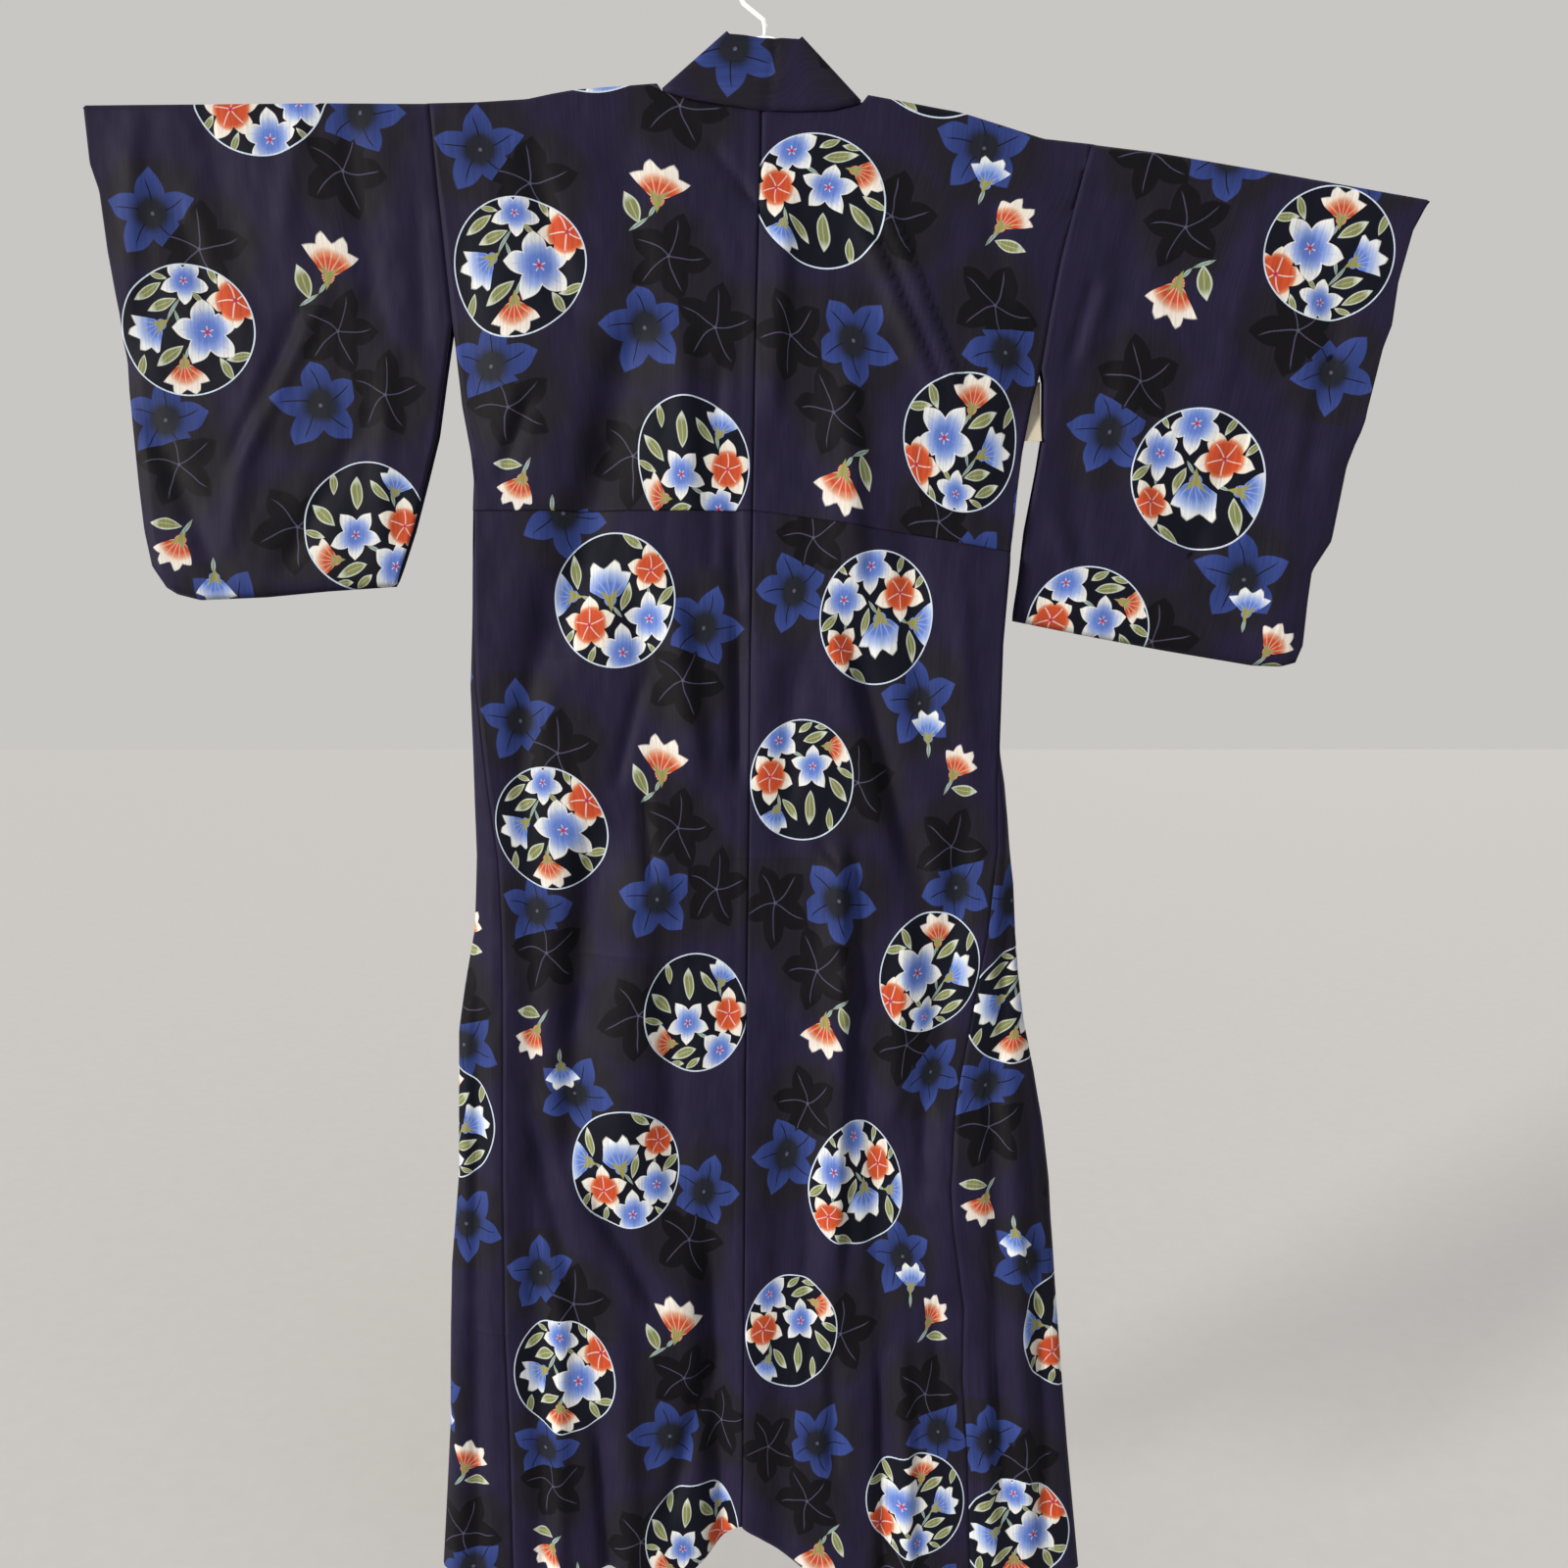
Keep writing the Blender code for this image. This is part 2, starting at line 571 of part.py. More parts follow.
def sleeve(side):
    """A flat bag: folded along the shoulder, sewn at the bottom and below the cuff."""
    sign = -1.0 if side == 0 else 1.0
    cuff, bottom, furi, top = ((LEFT_CUFF, LEFT_BOTTOM, LEFT_FURI, LEFT_TOP),
                               (RIGHT_CUFF, RIGHT_BOTTOM, RIGHT_FURI, RIGHT_TOP))[side]
    armhole, depths = [], []
    for row in range(ROWS):
        x, back, front, z = side_edge(side, row)
        if z < ARMHOLE_END_Z[side] - 1.0:
            break
        armhole.append((x + sign * SEAM_GAP * (2.0 if row < 2 else 1.0), z))
        depths.append(front)
    below = resample(furi, FURI_ROWS + 1)
    inner = np.array(armhole + [tuple(p) for p in below[1:]])
    top, bottom = (tuple(inner[0]), *top[1:]), (tuple(inner[-1]), *bottom[1:])
    depths += [LAYER_HALF] * FURI_ROWS
    count = len(inner)
    steps = np.concatenate([[0.0], np.cumsum(np.linalg.norm(np.diff(inner, axis=0), axis=1))])
    shares = steps / steps[-1]
    def at(points, wanted):
        points = np.array(points, float)
        run = np.concatenate([[0.0], np.cumsum(np.linalg.norm(np.diff(points, axis=0), axis=1))])
        return np.stack([np.interp(wanted * run[-1], run, points[:, k]) for k in (0, 1)], 1)
    outer = at(cuff, shares)
    cuff_run = np.linalg.norm(np.diff(np.array(cuff, float), axis=0), axis=1).sum()
    columns = np.array([0.0, 0.06, 0.16, 0.28, 0.40, 0.52, 0.64, 0.76, 0.87, 0.95, 0.985, 1.0])
    upper, lower = at(top, columns), at(bottom, columns)
    surface = Surface()
    last = len(columns) - 1
    for i, s in enumerate(columns):
        for j, t in enumerate(shares):
            flat = ((1 - s) * inner[j] + s * outer[j] + (1 - t) * upper[i] + t * lower[i]
                    - (1 - s) * (1 - t) * inner[0] - s * (1 - t) * outer[0]
                    - (1 - s) * t * inner[-1] - s * t * outer[-1])
            down = t * cuff_run
            half = SLEEVE_HALF[side] + (depths[min(j, count - 1)] - SLEEVE_HALF[side]) * (1 - ease(s / 0.3))
            top_arch = math.sqrt(1.0 - (1.0 - min(t * steps[-1] / 8.0, 1.0)) ** 2)
            low_arch = math.sqrt(1.0 - (1.0 - min((1 - t) * steps[-1] / 30.0, 1.0)) ** 2)
            if i > 0:
                half *= top_arch
            half *= low_arch
            sewn = down > CUFF_OPENING and i == last
            if i >= last - 2 and down > CUFF_OPENING:
                half *= (0.0, 0.30, 0.75)[last - i]
            closed = j == 0 or j == count - 1 or sewn
            if closed:
                half = 0.0
            for layer, way in (("back", -1.0), ("front", 1.0)):
                key = ("edge", i, j) if closed else (layer, i, j)
                reach = 5.0 * s * (1 - t * 0.4) if layer == "front" and not closed and i == last else 0.0
                surface.put(key, (flat[0] + sign * reach, way * half, flat[1]))
    def find(layer, i, j):
        return surface.index.get(("edge", i, j), surface.index.get((layer, i, j)))
    for j in range(count - 1):
        for i in range(last):
            for layer in ("back", "front"):
                ring = [find(layer, i, j), find(layer, i + 1, j),
                        find(layer, i + 1, j + 1), find(layer, i, j + 1)]
                faces_back = layer == "back"
                surface.quad(*(ring if faces_back == (side == 0) else ring[::-1]))
    return surface


# ---- hanger and label ----

def tube(name, path, deep, tall, look, around=10):
    """A rod of oval section swept along a path in the XZ plane, ends rounded in."""
    points, faces = [], []
    path = np.array(path, float)
    for j, (x, z) in enumerate(path):
        ahead, behind = path[min(j + 1, len(path) - 1)], path[max(j - 1, 0)]
        way = (ahead - behind) / np.linalg.norm(ahead - behind)
        across_x, across_z = -way[1], way[0]
        size = 0.62 if j in (0, len(path) - 1) else 1.0
        for k in range(around):
            turn = 2 * math.pi * k / around
            up = math.cos(turn) * tall / 2 * size
            points.append((x + across_x * up, math.sin(turn) * deep / 2 * size, z + across_z * up))
    for j in range(len(path) - 1):
        for k in range(around):
            a, b = j * around + k, j * around + (k + 1) % around
            faces.append((a, b, b + around, a + around))
    faces.append(tuple(range(around))[::-1])
    faces.append(tuple((len(path) - 1) * around + k for k in range(around)))
    return add_mesh(name, points, faces, look)


def hook_path():
    """Up from the hub, bending left into the round hook, over the top to its tip."""
    wire = HOOK_WIRE / 2
    centre = -HOOK_RADIUS + wire
    path = [(1.0, HUB_TOP_Z + SEAM_GAP / 2), (1.5, HUB_TOP_Z + 8.0), (0.0, HUB_TOP_Z + 15.0)]
    for angle in range(214, -31, -13):
        turn = math.radians(angle)
        path.append((HOOK_RADIUS * math.cos(turn), centre + HOOK_RADIUS * math.sin(turn)))
    return path


def label(look):
    """A bare woven label inside the right front's slit edge, following that edge."""
    wide, tall, thick = LABEL_SIZE
    x, z = LABEL_AT
    points, faces = [], []
    for share in (0.0, 0.5, 1.0):
        height = z + tall * (0.5 - share)
        rows = [side_edge(1, row) for row in range(ROWS)]
        y = float(np.interp(-height, [-row[3] for row in rows], [row[2] for row in rows]))
        y -= SEAM_GAP + thick + 0.2
        for a, c in ((-1, 0), (1, 0), (1, 1), (-1, 1)):
            points.append((x + a * wide / 2, y + c * thick, height))
    for k in (0, 4):
        for a, b in ((0, 1), (1, 2), (2, 3), (3, 0)):
            faces.append((k + a, k + b, k + b + 4, k + a + 4))
    faces += [(3, 2, 1, 0), (8, 9, 10, 11)]
    return add_mesh("label", points, faces, look)


def facing_out(obj):
    """Turns the faces round where the closed mesh encloses a negative volume."""
    mesh = obj.data
    mesh.calc_loop_triangles()
    total = 0.0
    for triangle in mesh.loop_triangles:
        a, b, c = (mesh.vertices[k].co for k in triangle.vertices)
        total += a.dot(b.cross(c))
    if total < 0:
        mesh.flip_normals()


def main():
    clear_scene()
    cotton = material("yukata_cotton", COLOURS["cotton"], 0.75)
    plastic = material("hanger_plastic", COLOURS["plastic"], 0.4)
    tape = material("label_tape", COLOURS["label"], 0.8)
    made = []
    for side, name in enumerate(("left", "right")):
        for kind, surface in (("body", body_panel(side)), ("okumi", okumi(side)), ("sleeve", sleeve(side))):
            points, faces = thicken(surface.points, surface.faces, CLOTH_THICK)
            made.append(add_mesh(f"{kind}_{name}", points, faces, cotton))
    band = collar()
    points, faces = thicken(band.points, band.faces, COLLAR_THICK)
    made.append(add_mesh("collar", points, faces, cotton))
    made.append(tube("hanger_arms", ARM, ARM_DEEP, ARM_TALL, plastic))
    made.append(tube("hanger_hook", hook_path(), HOOK_WIRE, HOOK_WIRE, plastic, around=8))
    made.append(label(tape))
    for obj in made:
        facing_out(obj)


main()
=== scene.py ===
# Long cotton yukata with flower roundels, on a white plastic hanger, seen from its back.
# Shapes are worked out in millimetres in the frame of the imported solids: the origin is the
# highest point inside the hook, the back faces -Y, and left and right are as seen from behind.
import bpy
import functools
import math
import mathutils
import numpy as np
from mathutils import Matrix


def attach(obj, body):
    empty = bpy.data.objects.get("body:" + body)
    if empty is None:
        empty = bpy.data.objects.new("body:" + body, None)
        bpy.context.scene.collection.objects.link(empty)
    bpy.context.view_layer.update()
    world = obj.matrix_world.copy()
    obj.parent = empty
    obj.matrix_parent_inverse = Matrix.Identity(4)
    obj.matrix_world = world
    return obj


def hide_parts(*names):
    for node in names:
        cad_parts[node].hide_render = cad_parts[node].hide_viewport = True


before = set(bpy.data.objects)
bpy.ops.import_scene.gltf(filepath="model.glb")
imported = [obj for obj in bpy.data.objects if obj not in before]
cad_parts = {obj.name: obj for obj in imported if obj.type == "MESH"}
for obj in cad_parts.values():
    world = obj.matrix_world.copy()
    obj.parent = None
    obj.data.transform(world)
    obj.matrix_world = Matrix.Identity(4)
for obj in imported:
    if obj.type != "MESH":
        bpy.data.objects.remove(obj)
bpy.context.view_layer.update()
mm = 0.001
sides = ("Left", "Right")
signs = (-1.0, 1.0)     # along x, left and right


def hexToLinear(text):
    values = [int(text[k:k + 2], 16) / 255 for k in (1, 3, 5)]
    linear = [v / 12.92 if v <= 0.04045 else ((v + 0.055) / 1.055) ** 2.4 for v in values]
    return (*linear, 1.0)


def setInputs(node, inputs):
    # sets a node's inputs by name or in order, and links those that come from another node
    for socket, value in inputs.items() if isinstance(inputs, dict) else enumerate(inputs):
        if isinstance(value, bpy.types.NodeSocket):
            node.id_data.links.new(value, node.inputs[socket])
        else:
            node.inputs[socket].default_value = hexToLinear(value) if isinstance(value, str) else value


def addNode(tree, kind, inputs=(), output=0, stops=(), **settings):
    # adds one node with its settings and inputs, places the stops of a colour ramp or a curve,
    # and gives the output asked for. A MapRange gets its value, where it is none and full, and
    # then what none and full give where that isn't 0 and 1.
    made = tree.nodes.new("ShaderNode" + kind)
    for name, value in settings.items():
        setattr(made, name, value)
    setInputs(made, inputs)
    if stops and kind == "ValToRGB":
        while len(made.color_ramp.elements) < len(stops):
            made.color_ramp.elements.new(0.5)
        for stop, (at, colour) in zip(made.color_ramp.elements, stops):
            stop.position = at
            stop.color = hexToLinear(colour)
    elif stops:
        curve = made.mapping.curves[0]
        while len(curve.points) < len(stops):
            curve.points.new(0.5, 0.5)
        for stop, place in zip(curve.points, stops):
            stop.location = place
            stop.handle_type = "VECTOR"
        made.mapping.update()
    return made.outputs[output]


def newMaterial(name):
    made = bpy.data.materials.new(name)
    made.use_nodes = True
    add = functools.partial(addNode, made.node_tree)    # adds a node to this material
    return made, add, made.node_tree.nodes["Principled BSDF"]


def ease(value):
    value = np.clip(value, 0.0, 1.0)
    return value * value * (3.0 - 2.0 * value)


def soft(x, low, high):
    return float(ease((x - low) / (high - low)))


# Camera, room and light

view = {
    "place": (20.7, -1262.0, -684.3),   # mm, standing close in front of the robe's back
    "pitchDown": 6.3,                   # degrees
    "focalPixels": 1202.0,              # for a picture 1600 pixels wide
    "floor": -1915.0,                   # mm, the hem hangs clear of it
}


def makeCamera():
    data = bpy.data.cameras.new("camera")
    data.sensor_width = 36.0
    data.lens = view["focalPixels"] * 36.0 / 1600.0
    data.clip_start = 0.01
    made = bpy.data.objects.new("camera", data)
    made.location = [v * mm for v in view["place"]]
    made.rotation_euler = (math.radians(90.0 - view["pitchDown"]), 0.0, 0.0)
    bpy.context.scene.collection.objects.link(made)
    bpy.context.scene.camera = made


def makeFloor():
    # painted plaster: matte, pale, with a very faint grain
    made, add, shader = newMaterial("paintedPlaster")
    place = add("TexCoord", output=3)
    grain = add("TexNoise", {"Vector": place, "Scale": 40.0, "Detail": 4.0})
    tint = add("Mix", {0: grain, 6: "#bebdbb", 7: "#c4c3c1"}, 2, data_type="RGBA")
    setInputs(shader, {"Base Color": tint, "Roughness": 0.9, "Specular IOR Level": 0.1})
    mesh = bpy.data.meshes.new("floor")
    reach, height = 14.0, view["floor"] * mm
    mesh.from_pydata([(-reach, -reach, height), (reach, -reach, height), (reach, reach, height),
                      (-reach, reach, height)], [], [(0, 1, 2, 3)])
    mesh.materials.append(made)
    floor = bpy.data.objects.new("floor", mesh)
    bpy.context.scene.collection.objects.link(floor)


studioLights = {   # name: the way the light travels, softness in degrees, strength, colour
    "windowLeft": ((0.82, 0.55, -0.16), 12.0, 5.0, "#fffaf4"),
    "fillRight": ((-0.55, 0.65, -0.52), 45.0, 0.45, "#dfe7ff"),
    "behind": ((-0.35, -0.75, -0.50), 45.0, 1.4, "#fffaf4"),
}
room = {"colour": "#fcf9f5", "strength": 0.6}


def makeLights():
    for name, (way, softness, strength, colour) in studioLights.items():
        data = bpy.data.lights.new(name, "SUN")
        data.angle = math.radians(softness)
        data.energy = strength
        data.color = hexToLinear(colour)[:3]
        made = bpy.data.objects.new(name, data)
        made.rotation_euler = mathutils.Vector(way).to_track_quat("-Z", "Y").to_euler()
        bpy.context.scene.collection.objects.link(made)
    world = bpy.data.worlds.new("paleRoom")
    world.use_nodes = True
    backdrop = world.node_tree.nodes["Background"]
    backdrop.inputs["Color"].default_value = hexToLinear(room["colour"])
    backdrop.inputs["Strength"].default_value = room["strength"]
    bpy.context.scene.world = world
    bpy.context.scene.view_settings.view_transform = "Standard"


makeCamera()
makeFloor()
makeLights()
print("camera, floor and lights are set")

# The printed cotton

# The print as it was laid out on the bolt, in mm: x from the left, y down, from the centre of
# the first roundel. It repeats every 617 mm along the cloth. Turns are in degrees, clockwise.
clothPrint = {
    "repeat": 617.0,
    "firstY": -167.0,
    "discs": [(0, 0, 66, 66), (172, 202, 65, 66), (85, 377, 70, 70)],
    # x, y, radius, turn of one petal, kind: 0 big and blue, 1 a dark shadow of one
    "bigFlowers": [
        (121, 75, 45, -98, 0), (-27, 91, 43, -84, 0), (27, 288, 46, -62, 0), (187, 405, 44, -70, 0),
        (-29, -114, 43, -92, 0), (196, 65, 44, -80, 1), (145, 0, 44, -72, 1), (-16, 134, 44, -100, 1),
        (102, 202, 46, -50, 1), (165, 460, 44, -65, 1), (165, -157, 44, -65, 1), (15, -81, 46, -82, 1),
    ],
    # disc number, x and y as shares of its radius, radius share, turn, kind: 0 blue, 1 orange
    "smallFlowers": [
        (0, -0.02, -0.73, 0.35, 88, 0), (0, 0.30, 0.03, 0.50, -100, 0), (0, 0.74, -0.46, 0.46, 102, 1),
        (1, 0.48, 0.66, 0.40, 70, 0), (1, 0.61, 0.04, 0.43, -90, 1), (1, -0.20, 0.18, 0.38, 90, 0),
        (2, 0.60, -0.46, 0.36, -95, 1), (2, -0.40, 0.37, 0.42, -92, 1), (2, 0.58, 0.28, 0.39, -98, 0),
        (2, 0.14, 0.76, 0.40, -93, 0),
    ],
    # disc number, x, y of the calyx, length share, turn of the opening, kind: 0 blue, 1 orange
    "bells": [
        (0, -0.40, -0.08, 0.50, 147, 0), (0, -0.06, 0.50, 0.50, 88, 1), (1, -0.49, 0.53, 0.46, 185, 1),
        (1, 0.48, -0.50, 0.44, -75, 0), (2, -0.07, -0.01, 0.60, -100, 0), (2, -0.68, -0.08, 0.50, 185, 0),
    ],
    # calyx x, y in mm, length, turn, kind
    "looseBells": [(133, -58, 42, -78, 1), (15, 251, 30, 90, 0), (-19, 213, 32, 118, 1)],
    # disc number, x, y, half length, turn, kind: 0 a leaf, 1 a piece of stem
    "leaves": [
        (0, -0.40, -0.81, 0.13, 20, 0), (0, -0.57, -0.58, 0.24, 148, 0), (0, -0.37, -0.37, 0.24, 160, 0),
        (0, 0.41, -0.85, 0.16, 70, 0), (0, -0.29, 0.385, 0.26, 146, 0), (0, -0.72, 0.56, 0.19, 105, 0),
        (0, 0.77, 0.41, 0.21, 172, 0), (0, 0.57, 0.59, 0.21, 243, 0), (0, 0.17, -0.50, 0.10, 40, 0),
        (0, -0.20, -0.30, 0.20, 124, 1), (0, -0.12, -0.16, 0.15, 70, 1), (0, -0.01, 0.34, 0.11, 110, 1),
        (1, -0.04, 0.86, 0.17, -39, 0), (1, -0.36, 0.87, 0.14, 5, 0), (1, -0.23, 0.70, 0.25, 162, 0),
        (1, -0.85, 0.13, 0.18, 20, 0), (1, -0.71, -0.165, 0.27, 228, 0), (1, -0.18, -0.48, 0.27, -90, 0),
        (1, -0.55, -0.655, 0.20, -95, 0), (1, 0.22, -0.51, 0.24, 228, 0), (1, 0.09, 0.41, 0.12, 18, 1),
        (1, 0.44, -0.38, 0.14, 84, 1), (2, 0.30, -0.86, 0.20, 35, 0), (2, -0.65, -0.42, 0.25, -98, 0),
        (2, 0.18, -0.06, 0.22, -75, 0), (2, 0.84, -0.07, 0.19, 135, 0), (2, -0.75, 0.55, 0.14, -60, 0),
        (2, -0.38, 0.82, 0.15, -70, 0), (2, 0.64, 0.72, 0.13, 220, 0), (2, 0.05, 0.16, 0.13, 45, 1),
        (2, 0.54, -0.09, 0.10, 95, 1), (2, -0.45, -0.04, 0.12, 20, 1),
    ],
    "looseLeaves": [   # x, y, half length in mm, turn, kind
        (107, -52, 18, -112, 0), (126, -47, 7, 122, 1), (113, -34, 12, 143, 1),
        (-33, 196, 16, 188, 0), (-13, 200, 12, -50, 1), (14, 238, 9, 88, 1),
    ],
    # half a petal: share of the angle from its tip to the notch, and the radius there
    "petal": [(0, 1.06), (0.07, 1.02), (0.19, 0.96), (0.34, 0.9), (0.48, 0.845), (0.62, 0.78), (0.74, 0.715),
              (0.87, 0.64), (1, 0.57)],
    "bellMouth": [(0, 0.76), (0.09, 0.82), (0.22, 1), (0.34, 0.93), (0.45, 0.76), (0.56, 0.82), (0.68, 0.9),
                  (0.76, 0.66), (0.84, 0.4), (1, 0.17)],
    # inks from the middle of a flower out
    "bigBlue": [(0, "#18191f"), (0.3, "#181b24"), (0.47, "#222e5c"), (0.8, "#28366b"), (1, "#2d3a70")],
    "smallBlue": [(0, "#44599a"), (0.34, "#5169a8"), (0.56, "#7c8db6"), (0.74, "#b0b5bb"), (1, "#c3c3be")],
    "smallOrange": [(0, "#9c3a20"), (0.52, "#a44124"), (0.62, "#b06b4a"), (0.71, "#c2b9ac"), (1, "#c4c3bc")],
    "bellBlue": [(0, "#405699"), (0.4, "#5069a9"), (0.62, "#8c9cbd"), (0.8, "#bcc0c1"), (1, "#c4c4bf")],
    "bellOrange": [(0, "#9c3a20"), (0.42, "#a44224"), (0.56, "#b27c5f"), (0.68, "#c2bab0"), (1, "#c6c4bd")],
}


def nearestMotif(add, place, spots):
    # The motif nearest to this point, in its own axes with a radius of 1. Place has 1 as its
    # third coordinate, so two dot products turn, move and scale it. The result's third
    # coordinate is 0, or 0.02 for the second kind, too small to count as a distance.
    best = near = None
    for x, y, wide, tall, turn, kind in spots:
        c, s = math.cos(math.radians(turn)), math.sin(math.radians(turn))
        along = add("VectorMath", (place, (c / wide, s / wide, -(x * c + y * s) / wide)), 1,
                    operation="DOT_PRODUCT")
        aside = add("VectorMath", (place, (-s / tall, c / tall, (x * s - y * c) / tall)), 1,
                    operation="DOT_PRODUCT")
        local = add("CombineXYZ", (along, aside, 0.02 * kind))
        far = add("VectorMath", (local,), 1, operation="LENGTH")
        if best is None:
            best, near = local, far
            continue
        closer = add("Math", (far, near), operation="LESS_THAN")
        best = add("Mix", {0: closer, 4: best, 5: local}, 1, data_type="VECTOR")
        near = add("Math", (far, near), operation="MINIMUM")
    return best, near


def spotsOf(name, widthShare=1.0, stemHalf=None):
    # x, y, half length, half width, turn and kind of each motif, all in mm of the print
    made = []
    for *disc, x, y, size, turn, kind in clothPrint[name]:
        if disc:    # placed in a disc, as shares of its radius
            middleX, middleY, wide, tall = clothPrint["discs"][disc[0]]
            x, y, size = middleX + x * wide, middleY + y * tall, size * wide
        made.append((x, y, size, stemHalf if stemHalf and kind else size * widthShare, turn, kind))
    return made


def printColour(add):
    # screen-printed pigment on dyed cotton: flat inks with soft airbrushed grades inside them
    uv = add("UVMap", uv_map="clothMetres")
    cloth = add("VectorMath", {0: uv, 3: 1000.0}, operation="SCALE")
    parts = add("SeparateXYZ", (cloth,)).node
    fromTop = add("Math", (parts.outputs[1], -clothPrint["firstY"]), operation="ADD")
    wrapped = add("Math", (fromTop, clothPrint["repeat"]), operation="FLOORED_MODULO")
    down = add("Math", (wrapped, clothPrint["firstY"]), operation="ADD")
    place = add("CombineXYZ", (parts.outputs[0], down, 1.0))
    wobble = add("TexNoise", {"Vector": cloth, "Scale": 1 / 26, "Detail": 0.0}, 1)
    shift = add("VectorMath", (wobble, (5.0, 5.0, 0.0), (-2.5, -2.5, 0.0)), operation="MULTIPLY_ADD")
    handDrawn = add("VectorMath", (place, shift), operation="ADD")

    discs, discFar = nearestMotif(add, place, [(x, y, w, t, 0, 0) for x, y, w, t in clothPrint["discs"]])
    inside = add("Math", (discFar, 1.0), operation="LESS_THAN")

    chosen, looseFar = [], []     # the flower, bell and leaf for this point, in a disc or out of it
    for loose, held in ((spotsOf("bigFlowers"), spotsOf("smallFlowers")),
                        (spotsOf("looseBells"), spotsOf("bells")),
                        (spotsOf("looseLeaves", 0.36, 2.1), spotsOf("leaves", 0.34, 1.8))):
        out, outFar = nearestMotif(add, handDrawn, loose)
        held, heldFar = nearestMotif(add, handDrawn, held)
        chosen.append(add("Mix", {0: inside, 4: out, 5: held}, 1, data_type="VECTOR"))
        looseFar.append(outFar)
    flower, bell, leaf = chosen

    # a five-petalled flower: its outline is a curve over the angle from the petal's tip
    f = add("SeparateXYZ", (flower,)).node.outputs
    angle = add("Math", (f[1], f[0]), operation="ARCTAN2")
    fromTip = add("Math", (angle, math.pi / 5), operation="PINGPONG")
    petalShare = add("Math", (fromTip, 5 / math.pi), operation="MULTIPLY")
    outline = add("FloatCurve", (1.0, petalShare), stops=clothPrint["petal"])
    reach = add("VectorMath", (flower,), 1, operation="LENGTH")
    ratio = add("Math", (reach, outline), operation="DIVIDE")
    flowerIn = add("MapRange", (ratio, 1.02, 0.98))
    curl = add("Math", (reach, 0.32, angle), operation="MULTIPLY_ADD")
    curl = add("Math", (curl, 0.16), operation="SUBTRACT")
    fromRib = add("Math", (curl, math.pi / 5), operation="PINGPONG")
    off = add("Math", (fromRib, reach), operation="MULTIPLY")
    second = add("Math", (f[2], 0.01), operation="GREATER_THAN")
    outside = add("Math", (1.0, inside), operation="SUBTRACT")
    bigMask = add("Math", (flowerIn, outside), operation="MULTIPLY")
    smallMask = add("Math", (flowerIn, inside), operation="MULTIPLY")
    ribLine = add("MapRange", (off, 0.021, 0.007))
    ribFrom = add("Math", (second, -0.26, 0.3), operation="MULTIPLY_ADD")
    ribStart = add("Math", (reach, ribFrom), operation="GREATER_THAN")
    ribEnd = add("MapRange", (reach, 0.88, 0.72))
    for share in (ribStart, ribEnd):
        ribLine = add("Math", (ribLine, share), operation="MULTIPLY")
    bigRib = add("Math", (ribLine, bigMask), operation="MULTIPLY")
    smallRib = add("Math", (ribLine, smallMask), operation="MULTIPLY")
    smallRib = add("Math", (smallRib, 0.45), operation="MULTIPLY")
    middleMark = add("MapRange", (reach, 0.055, 0.03, 0.0, 0.35))
    middleMark = add("Math", (middleMark, outside), operation="MULTIPLY")
    bigBlue, smallBlue, smallOrange = [add("ValToRGB", (reach,), stops=clothPrint[ink])
                                       for ink in ("bigBlue", "smallBlue", "smallOrange")]
    bigColour = add("Mix", {0: second, 6: bigBlue, 7: "#0a090d"}, 2, data_type="RGBA")
    ribColour = add("Mix", {0: second, 6: "#0c0c14", 7: "#3c3a4e"}, 2, data_type="RGBA")
    blueRim = add("MapRange", (ratio, 0.86, 1.0))
    smallBlue = add("Mix", {0: blueRim, 6: smallBlue, 7: "#c3c2be"}, 2, data_type="RGBA")
    smallColour = add("Mix", {0: second, 6: smallBlue, 7: smallOrange}, 2, data_type="RGBA")
    veinLine = add("MapRange", (off, 0.032, 0.008, 0.0, 0.75))
    veinReach = add("Math", (second, 0.38, 0.2), operation="MULTIPLY_ADD")
    veinEnd = add("Math", (reach, veinReach), operation="LESS_THAN")
    for share in (veinEnd, smallMask):
        veinLine = add("Math", (veinLine, share), operation="MULTIPLY")
    heart = add("MapRange", (reach, 0.1, 0.05))
    heart = add("Math", (heart, smallMask), operation="MULTIPLY")

    # a bell flower from the side: a fan out of its calyx, which is a small cup with two points
    b = add("SeparateXYZ", (bell,)).node.outputs
    bellAngle = add("Math", (b[1], b[0]), operation="ARCTAN2")
    bellTurn = add("Math", (bellAngle,), operation="ABSOLUTE")
    bellShare = add("Math", (bellTurn, 1 / 1.3), operation="MULTIPLY", use_clamp=True)
    mouth = add("FloatCurve", (1.0, bellShare), stops=clothPrint["bellMouth"])
    bellReach = add("VectorMath", (bell,), 1, operation="LENGTH")
    bellRatio = add("Math", (bellReach, mouth), operation="DIVIDE")
    bellMask = add("MapRange", (bellRatio, 1.03, 0.97))
    bellKind = add("Math", (b[2], 0.01), operation="GREATER_THAN")
    bellBlue, bellOrange = [add("ValToRGB", (bellReach,), stops=clothPrint[ink])
                            for ink in ("bellBlue", "bellOrange")]
    bellColour = add("Mix", {0: bellKind, 6: bellBlue, 7: bellOrange}, 2, data_type="RGBA")
    bellFold = add("Math", (bellAngle, 0.2), operation="PINGPONG")
    bellOff = add("Math", (bellFold, bellReach), operation="MULTIPLY")
    bellLine = add("MapRange", (bellOff, 0.024, 0.006, 0.0, 0.6))
    bellVeinEnd = add("Math", (bellReach, 0.6), operation="LESS_THAN")
    for share in (bellVeinEnd, bellMask):
        bellLine = add("Math", (bellLine, share), operation="MULTIPLY")
